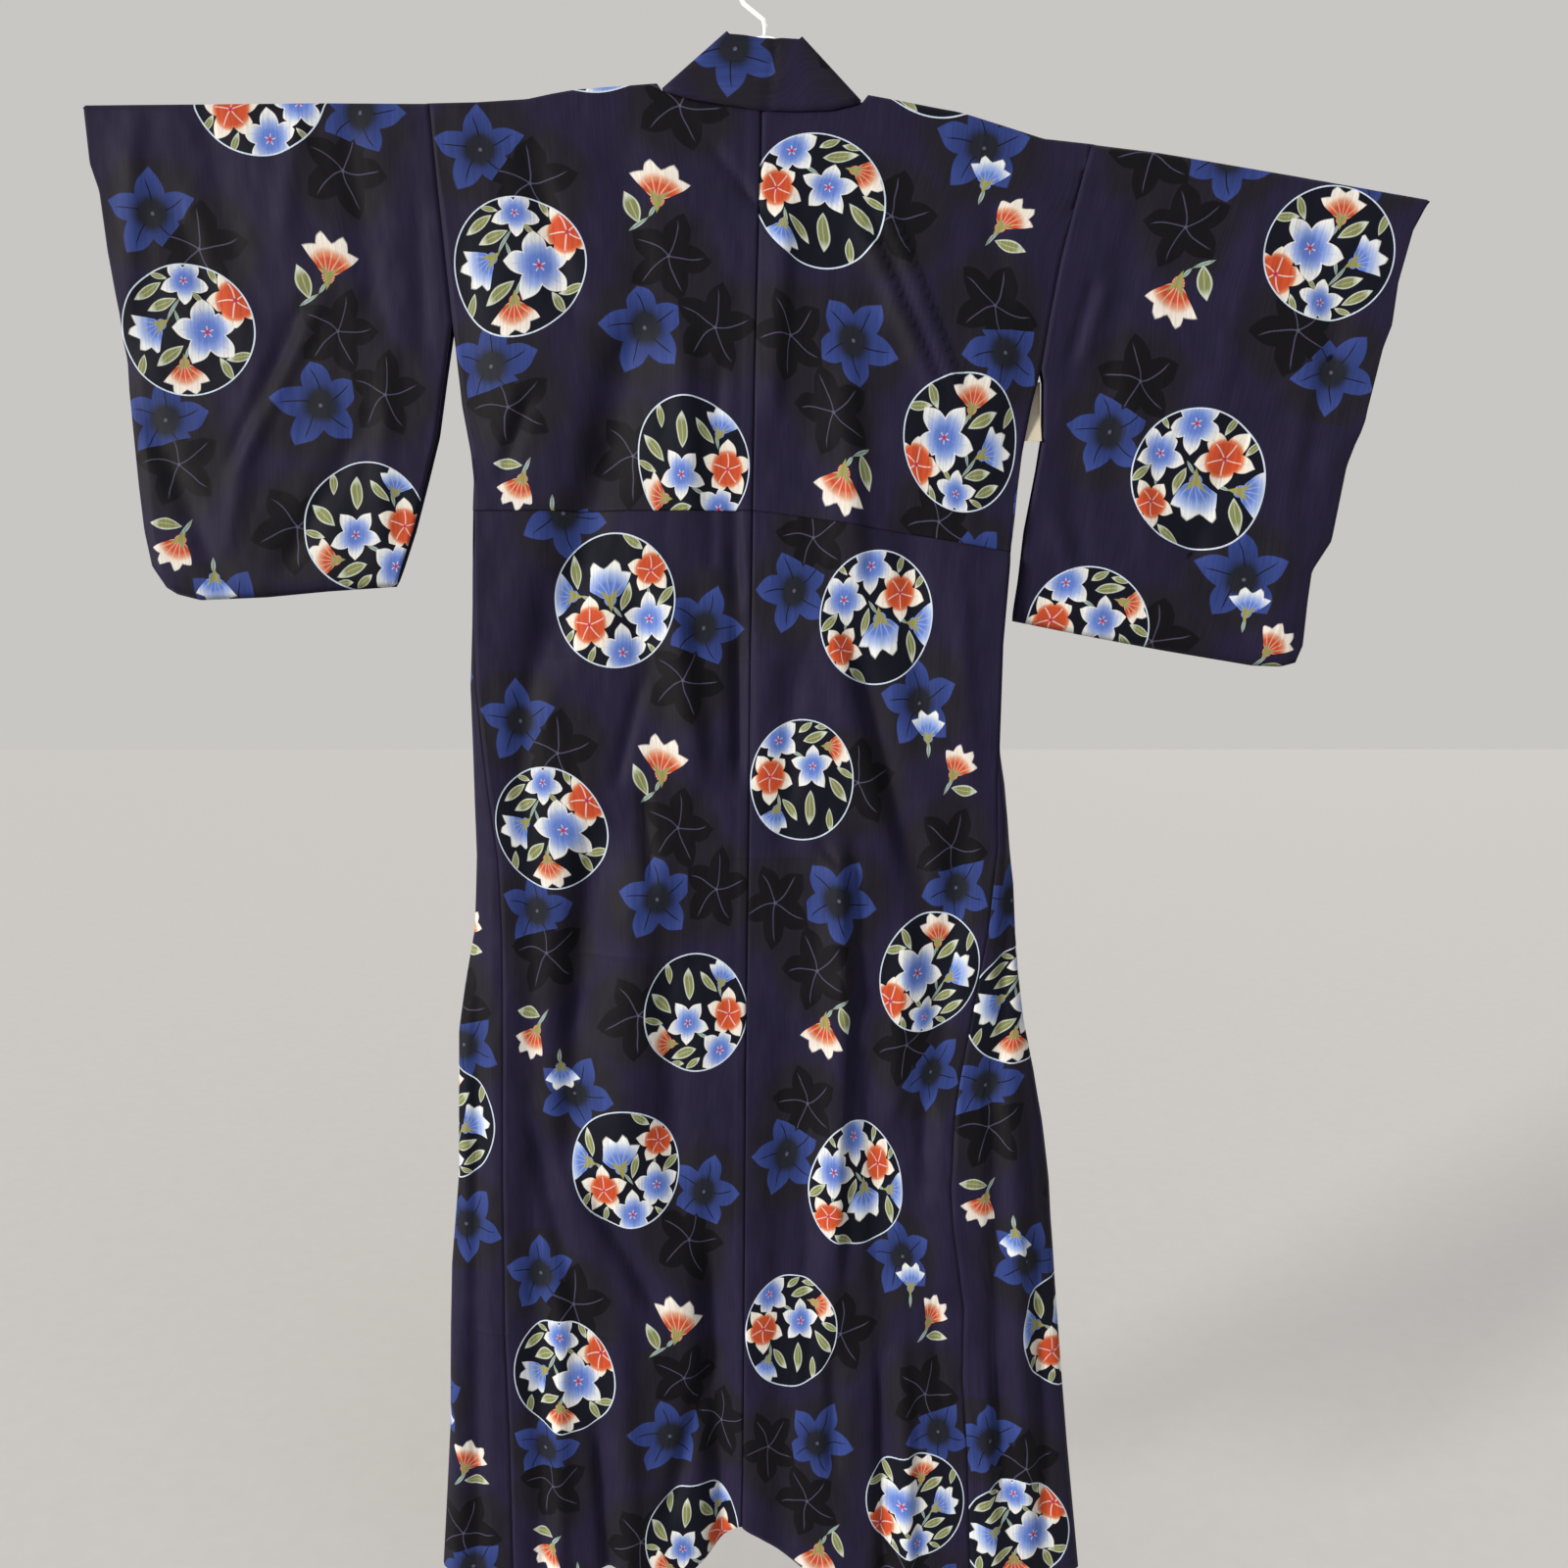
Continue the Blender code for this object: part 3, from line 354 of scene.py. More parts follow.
    bellVeinColour = add("Mix", {0: bellKind, 6: "#8797bb", 7: "#c6a89c"}, 2, data_type="RGBA")
    cupSide = add("Math", (b[1],), operation="ABSOLUTE")
    cupFlank = add("Math", (b[0], 0.42, 0.13), operation="MULTIPLY_ADD")
    cupFlank = add("Math", (cupFlank, cupSide), operation="SUBTRACT")
    cupBrim = add("Math", (cupSide, 0.7, 0.1), operation="MULTIPLY_ADD")
    cupBrim = add("Math", (cupBrim, b[0]), operation="SUBTRACT")
    cupDepth = add("Math", (cupFlank, cupBrim), operation="MINIMUM")
    calyxMask = add("MapRange", (cupDepth, -0.012, 0.012))

    # a leaf: pointed at both ends, a thin pale outline, a faint midrib, one white tip
    l = add("SeparateXYZ", (leaf,)).node.outputs
    square = add("Math", (l[0], l[0]), operation="MULTIPLY")
    bulge = add("Math", (1.0, square), operation="SUBTRACT")
    halfWide = add("Math", (l[1],), operation="ABSOLUTE")
    depth = add("Math", (bulge, halfWide), operation="SUBTRACT")
    leafMask = add("MapRange", (depth, -0.08, 0.08))
    leafRim = add("MapRange", (depth, 0.3, 0.12))
    midrib = add("MapRange", (halfWide, 0.11, 0.03, 0.0, 0.45))
    paleLine = add("Math", (leafRim, midrib), operation="MAXIMUM")
    tip = add("MapRange", (l[0], 0.35, 0.75))
    pale = add("Math", (paleLine, tip), operation="MAXIMUM")
    leafColour = add("Mix", {0: pale, 6: "#6c7045", 7: "#a7aea0"}, 2, data_type="RGBA")
    stemKind = add("Math", (l[2], 0.01), operation="GREATER_THAN")
    stemPale = add("MapRange", (halfWide, 0.3, 0.6))
    stemColour = add("Mix", {0: stemPale, 6: "#6e7b6b", 7: "#869998"}, 2, data_type="RGBA")
    leafColour = add("Mix", {0: stemKind, 6: leafColour, 7: stemColour}, 2, data_type="RGBA")

    # the dyed ground: violet, with soft grey-black clouds round the big flowers
    mottle = add("TexNoise", {"Vector": cloth, "Scale": 1 / 60, "Detail": 2.0})
    edge = add("Math", (mottle, 0.9, looseFar[0]), operation="MULTIPLY_ADD")
    cloud = add("MapRange", (edge, 2.0, 1.45), interpolation_type="SMOOTHSTEP")
    ground = add("Mix", {0: mottle, 6: "#161426", 7: "#1f1a30"}, 2, data_type="RGBA")
    stretched = add("VectorMath", (cloth, (0.55, 0.022, 1.0)), operation="MULTIPLY")
    slub = add("TexNoise", {"Vector": stretched, "Scale": 1.0, "Detail": 1.0})
    ringLine = add("Math", (discFar, 0.99, 0.011), operation="COMPARE")
    layers = [(cloud, "#18161e"), (bigMask, bigColour), (bigRib, ribColour),
              (middleMark, "#70758a"), (inside, "#0a0b16"),
              (leafMask, leafColour), (bellMask, bellColour), (bellLine, bellVeinColour),
              (calyxMask, "#7c7a48"), (smallMask, smallColour),
              (smallRib, "#7580a2"), (veinLine, "#cab0a6"),
              (heart, "#9a2448"), (ringLine, "#a9b5c2")]
    paint = ground
    for mask, colour in layers:
        paint = add("Mix", {0: mask, 6: paint, 7: colour}, 2, data_type="RGBA")
    # thicker and thinner yarns take the dye unevenly, in faint streaks along the cloth
    streak = add("MapRange", (slub, 0.3, 0.7, 0.86, 1.14))
    paint = add("VectorMath", {0: paint, 3: streak}, operation="SCALE")
    return paint, parts, cloth


def makeCotton():
    # plain-woven cotton, dyed and screen printed: matte with a faint nap at grazing angles
    made, add, shader = newMaterial("printedCotton")
    paint, parts, cloth = printColour(add)
    # threads lie 0.45 mm apart; drawn 1.8 mm apart, since a pixel covers about 1 mm
    threads = []
    for coordinate in parts.outputs[:2]:
        turns = add("Math", (coordinate, 2 * math.pi / 1.8), operation="MULTIPLY")
        threads.append(add("Math", (turns,), operation="SINE"))
    weave = add("Math", (threads[0], threads[1]), operation="MULTIPLY")
    # small wrinkles left by wearing and folding, longer down the cloth than across it
    crumpled = add("VectorMath", (cloth, (1 / 38, 1 / 64, 0.0)), operation="MULTIPLY")
    wrinkle = add("TexNoise", {"Vector": crumpled, "Scale": 1.0, "Detail": 1.5})
    bump = add("Bump", {"Strength": 1.0, "Distance": 0.0042, "Height": wrinkle})
    bump = add("Bump", {"Strength": 0.12, "Distance": 0.0004, "Height": weave, "Normal": bump})
    setInputs(shader, {"Base Color": paint, "Normal": bump, "Roughness": 0.62, "IOR": 1.47,
                       "Specular IOR Level": 0.08, "Sheen Weight": 0.03, "Sheen Roughness": 0.45,
                       "Sheen Tint": "#cfc8e6"})
    return made


printedCotton = makeCotton()
print("printed cotton is ready")

# How the robe hangs, with the same numbers as its solids, all in mm

robe = {
    "clothThick": 0.8,              # real cotton is about 0.35 mm, a shell needs a little more
    "seamGap": 0.4,                 # between two panels
    "seamUnder": 3.0,               # the right panel goes this far under the left one
    "layerHalf": 6.0,               # half the robe's depth where it lies over the hanger
    "slitEnd": -478.0,              # the side seam starts here, under the slit below the sleeve
    "slitFrom": 385.0,              # over the next stretch down, front and back come together
    "slitTo": 585.0,
    "frontSlit": (392.0, 492.0),    # and here the front edge of the slit closes in on the back
    "armholeEnd": (-345.0, -392.0),     # left and right, where a sleeve's seam ends
    "kensaki": -345.0,              # tip of the overlap panel
    "collarEnd": -880.0,
    "level": -230.0,                # from here down the rows are level
    "straightBelow": 110.0,         # down to this the columns leave the slope of the shoulder
    "hem": -1736.0,
    "hemFrom": -1560.0,             # the rows bend towards the hem's outline from here down
    "frontDepth": (27.0, 15.0),     # how far out the fronts hang, left and right
    "backDepth": -22.0,
    "backSettled": 340.0,           # how far down the back and the fronts reach those depths
    "frontSettled": 210.0,
    "neckShare": 0.307,             # share of a panel's width that lies beside the neck
    "neckCut": 7.0,
    "archDrop": 8.0,                # the cloth bends over the hanger's arms within this drop
    "archRows": (0.0, 0.4, 0.8, 1.8, 3.2, 5.0, 7.0, 10.0, 14.0),
    "rowStep": 6.0,
    "foldStrength": 1.6,            # 1 makes the folds as deep as the tables below say
}
sideRows = (   # z, side seam x, x where the front turns back, left then right
    np.array((
        (-131, -337, -337), (-213, -331, -331), (-285, -325, -325), (-345, -320, -320), (-390, -316, -316),
        (-430, -312, -312), (-478, -303, -303), (-505, -300, -301), (-617, -303, -305), (-718, -303, -313),
        (-821, -294, -313), (-902, -285, -314), (-984, -283, -319), (-1048, -284, -331), (-1098, -285, -339),
        (-1265, -289, -344), (-1370, -290, -355), (-1440, -291, -358), (-1560, -289, -362),
        (-1736, -289, -376)), float),
    np.array((
        (-170, 332, 332), (-228, 317, 317), (-281, 304, 304), (-338, 294, 294), (-392, 286, 286),
        (-428, 277, 277), (-478, 267, 267), (-517, 262, 263), (-571, 257, 258), (-674, 250, 251),
        (-784, 248, 250), (-821, 247, 257), (-892, 249, 265), (-931, 245, 270), (-986, 240, 273),
        (-1031, 232, 277), (-1083, 224, 284), (-1143, 214, 297), (-1195, 206, 306), (-1265, 203, 315),
        (-1308, 206, 318), (-1408, 221, 328), (-1493, 221, 336), (-1584, 228, 345),
        (-1736, 234, 362)), float),
)
centreBack = np.array(((-139, -3), (-496, -12), (-780, -16), (-1144, -22), (-1676, -27), (-1736, -28)), float)
shoulders = (   # x, z from beside the neck to the sleeve
    np.array(((-108, -112), (-150, -115), (-191, -118), (-215, -122), (-239, -127), (-290, -130),
              (-337, -131)), float),
    np.array(((106, -123), (140, -129), (178, -136), (196, -139), (211, -143), (258, -157), (284, -165),
              (332, -170)), float),
)
backNeck = np.array(((-108, -119), (-99, -121.4), (-71.4, -128.8), (-37.2, -134), (-3, -139), (32.5, -140),
                     (68, -139), (95, -132.6), (106, -130)), float)
frontRows = (   # z, seam to the overlap panel, front edge
    np.array(((-112, -108, -108), (-140, -103, -103), (-200, -95, -95), (-345, -80, -76), (-500, -76, -44),
              (-700, -88, -14), (-880, -104, 10), (-1000, -122, 2), (-1265, -160, -26), (-1500, -196, -58),
              (-1736, -226, -84)), float),
    np.array(((-123, 106, 106), (-150, 100, 100), (-200, 92, 92), (-345, 76, 72), (-500, 66, 34),
              (-700, 56, -20), (-880, 60, -46), (-1000, 74, -44), (-1265, 118, -10), (-1500, 170, 36),
              (-1736, 212, 74)), float),
)
hemRise = np.array(((-300, 2), (-190, 10), (-130, 10), (-90, 5), (-60, 30), (-30, 60), (-10, 50), (20, 26),
                    (50, 6), (90, 0), (300, 0)), float)
backColumns = (0.0, 0.10, 0.20, 0.307, 0.39, 0.48, 0.57, 0.66, 0.74, 0.81, 0.87, 0.92, 0.96, 1.0)
# Folds of the back: from x, z to x, z, half width, depth, lean. A depth above 0 is a trough and
# one below 0 a ridge. The lean makes the right flank steeper, or the left one below 0.
folds = (
    (-138, -361, -168, -487, 26, 8, -0.2), (-168, -487, -224, -680, 26, 8, -0.2),
    (-79, -370, -76, -526, 17, -5, 0.4), (-45, -392, -47, -450, 6, 2.4, 0),
    (-65, -160, -6, -234, 6, 3.2, -0.4), (24, -242, 10, -425, 15, -5, 0.5),
    (104, -256, 170, -402, 9, -5.5, 0.6), (126, -236, 196, -410, 9, -5, 0.6),
    (87, -405, 94, -600, 19, -6, 0.5), (-245, -430, -272, -500, 9, 4, -0.3),
    (232, -512, 256, -580, 7, 4, -0.3), (-32, -541, -28, -626, 9, 5, 0.2), (-53, -541, -55, -590, 6, 3, 0),
    (-91, -640, -70, -800, 17, -6.5, 0.5), (-28, -657, -26, -806, 11, 6, -0.2),
    (-131, -718, -154, -812, 7, 3.4, 0), (-130, -832, -122, -924, 7, 4, -0.3),
    (-184, -884, -206, -1077, 24, 9, -0.3), (-206, -1077, -216, -1250, 24, 7, -0.3),
    (-131, -926, -151, -1220, 32, -6, 0), (101, -700, 151, -900, 15, 6, -0.3),
    (64, -640, 120, -860, 18, -4, 0.2), (81, -900, 86, -1060, 14, -9, 0.7),
    (86, -1060, 77, -1370, 14, -6, 0.6), (62, -884, 76, -906, 6, 3, 0),
    (202, -1176, 209, -1380, 12, -7, 0.4), (177, -1180, 180, -1270, 10, 5, 0),
    (-62, -1340, -50, -1760, 20, 11, -0.2), (-195, -1276, -126, -1405, 14, 6, -0.3),
    (-253, -1215, -218, -1390, 14, 6, -0.2), (-69, -1490, -110, -1660, 12, 6, 0),
    (130, -1480, 136, -1760, 12, 6, -0.3), (154, -1480, 164, -1760, 12, -6, 0.3),
    (76, -1470, 78, -1600, 10, 5, 0), (190, -1410, 200, -1520, 11, 5, 0),
    (-190, -1560, -178, -1760, 12, 6, -0.3), (-262, -860, -262, -1780, 20, 8, 0),
    (21, -1165, 18, -1760, 22, 5, 0), (-110, -1000, -96, -1300, 16, 4, 0),
    (-160, -1440, -150, -1760, 18, -5, 0.3), (44, -1240, 50, -1500, 12, 4, 0),
    (110, -1120, 128, -1400, 16, 4, -0.3), (150, -560, 168, -760, 16, 3.5, 0),
    (-150, -590, -120, -700, 18, 3, 0), (215, -880, 192, -1180, 20, 7, 0), (30, -700, 24, -880, 14, 3.5, 0),
    (-230, -620, -262, -820, 13, 3.5, 0), (206, -620, 224, -820, 12, -3.5, 0.3),
    (160, -880, 186, -1060, 15, 4, 0), (-240, -170, -200, -330, 14, 3, 0),
    (150, -1000, 140, -1180, 12, -3.5, 0), (-228, -1400, -236, -1760, 13, -4.5, 0.3),
    (232, -230, 246, -330, 12, 2.6, 0), (-150, -160, -120, -330, 20, 2.8, 0),
)
# folds of the front panels where they show beside the back
stripFolds = (
    (-310, -900, -316, -1260, 11, 3, 0), (-320, -1190, -331, -1700, 10, 4, -0.2),
    (-350, -1450, -356, -1760, 10, -3, 0), (247, -1150, 264, -1620, 10, 4.5, -0.2),
    (272, -1180, 300, -1640, 11, -5, 0.3), (300, -1380, 328, -1760, 12, 4, 0),
    (262, -900, 258, -1120, 9, 4, 0), (246, -1500, 262, -1760, 12, -4, 0.2),
)
# The seam in the middle of the back, pressed to the left, as shares of a panel's width and mm:
# the left panel bends in at the seam and is raised over the fold, the right one goes under it.
backSeam = {"bend": 1.5, "bendWidth": 0.003, "raised": 0.9, "foldFrom": -0.042, "foldTo": -0.028,
            "under": 2.2, "underWidth": 0.006}
# lines pressed across the cloth while it lay folded: height, from x, to x, depth
pressedLines = (
    (-690, -292, 150, 0.35), (-900, -90, 130, 0.6), (-1007, -280, -30, 0.5), (-1440, -352, -60, 0.6),
    (-1215, 60, 210, 0.4),
)

# where the print strays from an even spread, since the cloth was eased in and hangs unevenly:
# part, x, z, how far to the right and how far down, in mm. Parts 0 and 1 are the upper back,
# 2 and 3 the lower back, 4 and 5 the sleeves, left before right.
printStrays = (
    (0, -110, -240, 8, -9), (0, -127, -360, 4, -15), (0, -292, -397, -10, 9), (0, -139, -481, 5, -12),
    (0, -258, -250, 0, -5), (1, 50, -227, -13, -5), (1, 97, -375, -12, 1), (1, 245, -265, -12, -8),
    (1, 249, -383, 5, -10), (2, -232, -867, -10, 0), (2, -108, -890, 10, 0), (2, -232, -1120, -15, 13),
    (2, -68, -1070, 7, -2), (2, -88, -1429, 17, 13), (2, -96, -1560, 20, 0), (2, -212, -1510, 0, 7),
    (3, 39, -813, -1, -7), (3, 12, -942, -6, -9), (3, 181, -1028, 9, 5), (3, 104, -1262, 17, 6),
    (3, 49, -1173, 13, -9), (3, 157, -1357, 16, -6), (3, 62, -1570, -13, 4), (3, 192, -1570, 8, 6),
    (4, -456, -290, 16, 5), (4, -458, -423, 14, 0), (4, -415, -547, 8, -8),
    (5, 449, -501, -11, 3), (5, 431, -317, -15, -5), (5, 504, -605, 6, 9),
)
strayReach = 70.0


def lookup(table, z, column):
    return float(np.interp(-z, -table[:, 0], table[:, column]))


def across(table, x):
    ordered = table[np.argsort(table[:, 0])]
    return float(np.interp(x, ordered[:, 0], ordered[:, 1]))


def foldDepth(x, z, rows):
    total = 0.0
    for topX, topZ, lowX, lowZ, halfWidth, depth, lean in rows:
        run = (z - topZ) / (lowZ - topZ)
        if run <= -0.25 or run >= 1.25:
            continue
        off = (x - topX - (lowX - topX) * run) / halfWidth
        flank = lean if off > 0 else -lean
        off *= 1.0 + (1.2 if flank > 0 else 0.5) * flank
        if abs(off) < 3.0:
            ends = soft(run, -0.25, 0.15) * soft(-run, -1.25, -0.85)     # it fades out at both ends
            total += depth * robe["foldStrength"] * ends * math.exp(-off * off)
    return total


def strayAt(part, x, z):
    right = down = 0.0
    for place, midX, midZ, moveRight, moveDown in printStrays:
        if place == part:
            weight = math.exp(-((x - midX) ** 2 + (z - midZ) ** 2) / strayReach ** 2)
            right, down = right + weight * moveRight, down + weight * moveDown
    return right, down


def pressedDepth(x, z):
    total = 0.0
    for height, fromX, toX, depth in pressedLines:
        if abs(z - height) < 8.0:
            total -= depth * soft(x, fromX, fromX + 60.0) * soft(-x, -toX, 60.0 - toX) \
                * math.exp(-((z - height) / 2.2) ** 2)
    return total


def archAt(below):
    return robe["layerHalf"] * math.sqrt(1.0 - (1.0 - min(below / robe["archDrop"], 1.0)) ** 2)


def backDepthAt(x, z, below):
    settle = soft(below, 10.0, robe["backSettled"])
    worn = foldDepth(x, z, folds) * soft(below, 0.0, 90.0) + pressedDepth(x, z)
    return -archAt(below) + (robe["backDepth"] + robe["layerHalf"]) * settle + worn


def frontDepthAt(side, below):
    settle = soft(below, 10.0, robe["frontSettled"])
    return archAt(below) + (robe["frontDepth"][side] - robe["layerHalf"]) * settle


def rowHeight(row, topZ):
    # rows from 0 up are mm under the shoulder line, the rest are heights
    if row >= 0:
        return topZ - row
    if row <= robe["level"]:
        return row
    start = topZ - 14.0
    return start + (robe["level"] - start) * (row + 130.0) / (robe["level"] + 130.0)


def sideEdge(side, row):
    topZ = shoulders[side][-1, 1]
    z = rowHeight(row, topZ)
    x = lookup(sideRows[side], z, 1)
    below = topZ - z
    openShare = 1.0 - soft(-z, robe["slitFrom"], robe["slitTo"])
    back = -archAt(below) * openShare + backDepthAt(x, z, below) * (1.0 - openShare)
    front = archAt(below)
    if z <= robe["slitEnd"]:
        front = back
    elif z < -robe["frontSlit"][0]:
        front += (back - front) * soft(-z, *robe["frontSlit"]) * 0.8
    return x, back, front, z


def shoulderPoint(side, share):
    neck = shoulders[side][0]
    x = neck[0] + (shoulders[side][-1, 0] - neck[0]) * (share - robe["neckShare"]) / (1 - robe["neckShare"])
    return x, across(shoulders[side], x)


def backPoint(side, share, row):
    sign = signs[side]
    edgeX, edgeY, frontY, edgeZ = sideEdge(side, row)
    if share >= 0.9999:
        return edgeX, edgeY, edgeZ
    if share < robe["neckShare"] - 1e-6:
        seamX = centreBack[0, 1]
        topX = seamX + (shoulders[side][0, 0] - seamX) * share / robe["neckShare"]
        topZ = across(backNeck, topX) - robe["seamGap"] / 2 + robe["neckCut"]
        if 0 <= row < robe["neckCut"]:
            row = robe["neckCut"]
    else:
        topX, topZ = shoulderPoint(side, share)
    z = rowHeight(row, topZ)
    midX = lookup(centreBack, z, 1) + sign * robe["seamGap"] / 2
    levelX = midX + (lookup(sideRows[side], z, 1) - midX) * share
    x = topX + (levelX - topX) * soft(topZ - z, 0.0, robe["straightBelow"])
    if share < 1e-6:
        x = midX
    if z <= robe["hem"] + 1e-6:
        z += across(hemRise, x)
    elif z < robe["hemFrom"]:
        z += across(hemRise, x) * soft(-z, -robe["hemFrom"], -robe["hem"])
    y = backDepthAt(x, z, topZ - z)
    if side == 0:
        y += backSeam["bend"] * math.exp(-(share / backSeam["bendWidth"]) ** 2)
        y -= backSeam["raised"] * soft(-share, backSeam["foldFrom"], backSeam["foldTo"])
    else:
        y += backSeam["under"] * math.exp(-(share / backSeam["underWidth"]) ** 2)
        x -= robe["seamUnder"] if share < 1e-6 else 0.0
    return x, y + (edgeY - y) * soft(share, 0.80, 1.0), z


def pathLength(path):
    return np.concatenate([[0.0], np.cumsum(np.linalg.norm(np.diff(path, axis=0), axis=1))])


# the fold where a front turns back behind the side of the robe, in mm
frontFold = {
    "least": 36.0,               # least length of path that the columns count up to it
    "closeBy": (6.0, 16.0),      # two columns just past the fold
    "tightest": 14.0,            # how far in the fold bends back at most
    "sewnOver": 130.0,           # drop over which the slit passes into the sewn side
    "flatOver": 150.0,           # width over which a flat front comes forward
    "straight": (14.0, 120.0),   # drop over which the shoulder's bend passes into the path
    "stripEdge": (3.0, 16.0),    # where the strip's own folds begin beside the back
}


def frontShares(path, fold):
    # lengths along the path where the columns lie, closer together beside the fold
    run = pathLength(path)
    atFold = max(run[fold], frontFold["least"])
    lower = np.linspace(0.0, atFold, 5)
    first = np.array(frontFold["closeBy"]) + atFold
    upper = np.concatenate([first, np.linspace(first[-1], run[-1], 5)[1:]])
    return run, np.concatenate([lower, upper])


def frontRow(side, row, columns):
    # points of the front layer along one row, from the side seam to the overlap panel's seam
    sign = signs[side]
    shares = np.interp(columns, np.arange(11), backColumns[:2:-1])
    neckTop = shoulders[side][0, 1]
    edgeX, edgeBack, edgeFront, edgeZ = sideEdge(side, row)
    innerZ = rowHeight(row, neckTop)
    innerX = lookup(frontRows[side], innerZ, 1) + sign * robe["seamGap"] / 2
    depth = frontDepthAt(side, neckTop - innerZ)
    foldX = lookup(sideRows[side], edgeZ, 2)
    half = (depth - edgeFront) / 2.0
    out = abs(foldX - edgeX)
    turn = min(frontFold["tightest"], abs(half) * 1.2 + 0.5)
    bent = []
    for k in range(7):
        angle = math.pi / 2.0 * k / 6.0
        bent.append((edgeX + sign * out * math.sin(angle), edgeFront + half * (1.0 - math.cos(angle))))
    for k in range(1, 7):
        angle = math.pi / 2.0 * k / 6.0
        bent.append((foldX - sign * turn * (1.0 - math.cos(angle)),
                     edgeFront + half + half * math.sin(angle)))
    bent.append((innerX, depth))
    flat = [(edgeX + (innerX - edgeX) * k / 30.0,
             edgeFront + (depth - edgeFront)
             * soft(abs(innerX - edgeX) * k / 30.0, 0.0, frontFold["flatOver"]))
            for k in range(31)]
    sewn = soft(robe["slitEnd"] - edgeZ, 0.0, frontFold["sewnOver"])
    path = 0.0
    for line, fold, weight in ((bent, 6, sewn), (flat, 0, 1.0 - sewn)):
        line = np.array(line)
        run, coarse = frontShares(line, fold)
        wanted = np.interp(columns, np.arange(11), coarse)
        path = path + weight * np.stack([np.interp(wanted, run, line[:, k]) for k in (0, 1)], 1)
    made = []
    for k, share in enumerate(shares):
        topX, topZ = shoulderPoint(side, share)
        z = rowHeight(row, topZ)
        under = topZ - z
        x = topX + (path[k, 0] - topX) * soft(under, 0.0, robe["straightBelow"])
        x = edgeX if k == 0 else innerX if k == len(shares) - 1 else x
        y = path[k, 1] if under > 40.0 else frontDepthAt(side, under)
        bendTo, straightFrom = frontFold["straight"]
        if bendTo < under <= straightFrom:
            mix = soft(under, bendTo, straightFrom)
            y = frontDepthAt(side, under) * (1.0 - mix) + path[k, 1] * mix
        if k == 0:
            y = edgeFront
        beyond = sign * (x - edgeX)
        if beyond > frontFold["stripEdge"][0] and under > straightFrom:
            y += foldDepth(x, z, stripFolds) * soft(beyond, *frontFold["stripEdge"])
        made.append((x, y, z))
    return made


# Cloth pieces

def shellPiece(name, grids, thick, node):
    # one sheet of cloth out of one or more grids of points, thickened to a thin shell
    points, faces, uvs = [], [], []
    for grid, spots, turned in grids:
        rows, columns = len(grid), len(grid[0])
        start = len(points)
        points += [p for line in grid for p in line]
        spots = [s for line in spots for s in line]
        for j in range(rows - 1):
            for i in range(columns - 1):
                first = j * columns + i
                ring = [first, first + 1, first + columns + 1, first + columns]
                if turned:
                    ring.reverse()
                apart = {tuple(round(v, 3) for v in points[start + k]): k for k in reversed(ring)}
                corners = [k for k in ring if k in apart.values()]
                if len(corners) > 2:
                    faces.append([start + k for k in corners])
                    uvs += [(spots[k][0] * mm, spots[k][1] * mm) for k in corners]
    mesh = bpy.data.meshes.new(name)
    mesh.from_pydata([tuple(np.array(p) * mm) for p in points], [], faces)
    layer = mesh.uv_layers.new(name="clothMetres")
    layer.data.foreach_set("uv", [v for pair in uvs for v in pair])
    mesh.materials.append(printedCotton)
    piece = bpy.data.objects.new(name, mesh)
    bpy.context.scene.collection.objects.link(piece)
    weld = piece.modifiers.new("sewn edges", "WELD")
    weld.merge_threshold = 0.02 * mm
    shell = piece.modifiers.new("cloth thickness", "SOLIDIFY")
    shell.thickness = thick * mm
    shell.offset = 1.0
    for face in mesh.polygons:
        face.use_smooth = True
    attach(piece, "root")
    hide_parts(node)


tuck = {"height": -537.0, "levelTo": -15.0, "fall": 41.0, "fallWidth": 271.0, "bend": 1.1}

# where each panel was cut out of the bolt: mm of the print at its seam or its heights
bolt = {
    "centreSeam": 240.0, "panelWide": 315.0, "easedIn": (-1.1, 1.2),
    "upperBack": (293.0, 432.0), "upperSlope": 0.22, "lowerBack": (869.0, 1024.0),
    "front": ((-75.0, 1201.0), (-57.0, 1064.0)), "overlap": (60.0, 1330.0, 900.0),
}


def tuckHeight(side, share):
    # the tuck sewn across the back at the waist, sloping down to the right
    x = tuck["levelTo"] + (-290.0 if side == 0 else 275.0) * share
    past = max(x - tuck["levelTo"], 0.0)
    return tuck["height"] - tuck["fall"] * (past / tuck["fallWidth"]) ** tuck["bend"]


def backGrid(side, rows, shares, lift=0.0, printAbove=None):
    grid, spots = [], []
    for row in rows:
        line, marks = [], []
        for share in shares:
            height = row(share) if callable(row) else row
            x, y, z = backPoint(side, share, height)
            line.append((x, y + lift, z))
            right, down = strayAt(side + (0 if printAbove else 2), x, z)
            z += down
            out = bolt["panelWide"] * share
            start = bolt["upperBack" if printAbove else "lowerBack"][side]
            if side and printAbove:
                start += bolt["upperSlope"] * (out - 60.0)
            marks.append((bolt["centreSeam"] - out + bolt["easedIn"][side] * right,
                          z + start if side else -z - start))
        grid.append(line)
        spots.append(marks)
    return grid, spots


def frontGrid(side, rows, columns):
    grid, spots = [], []
    for row in rows:
        line = frontRow(side, row, columns)
        grid.append(line)
        startU, startV = bolt["front"][side]
        spots.append([(startU + run, -point[2] - startV if side else point[2] + startV)
                      for point, run in zip(line, pathLength(np.array(line)))])
    return grid, spots


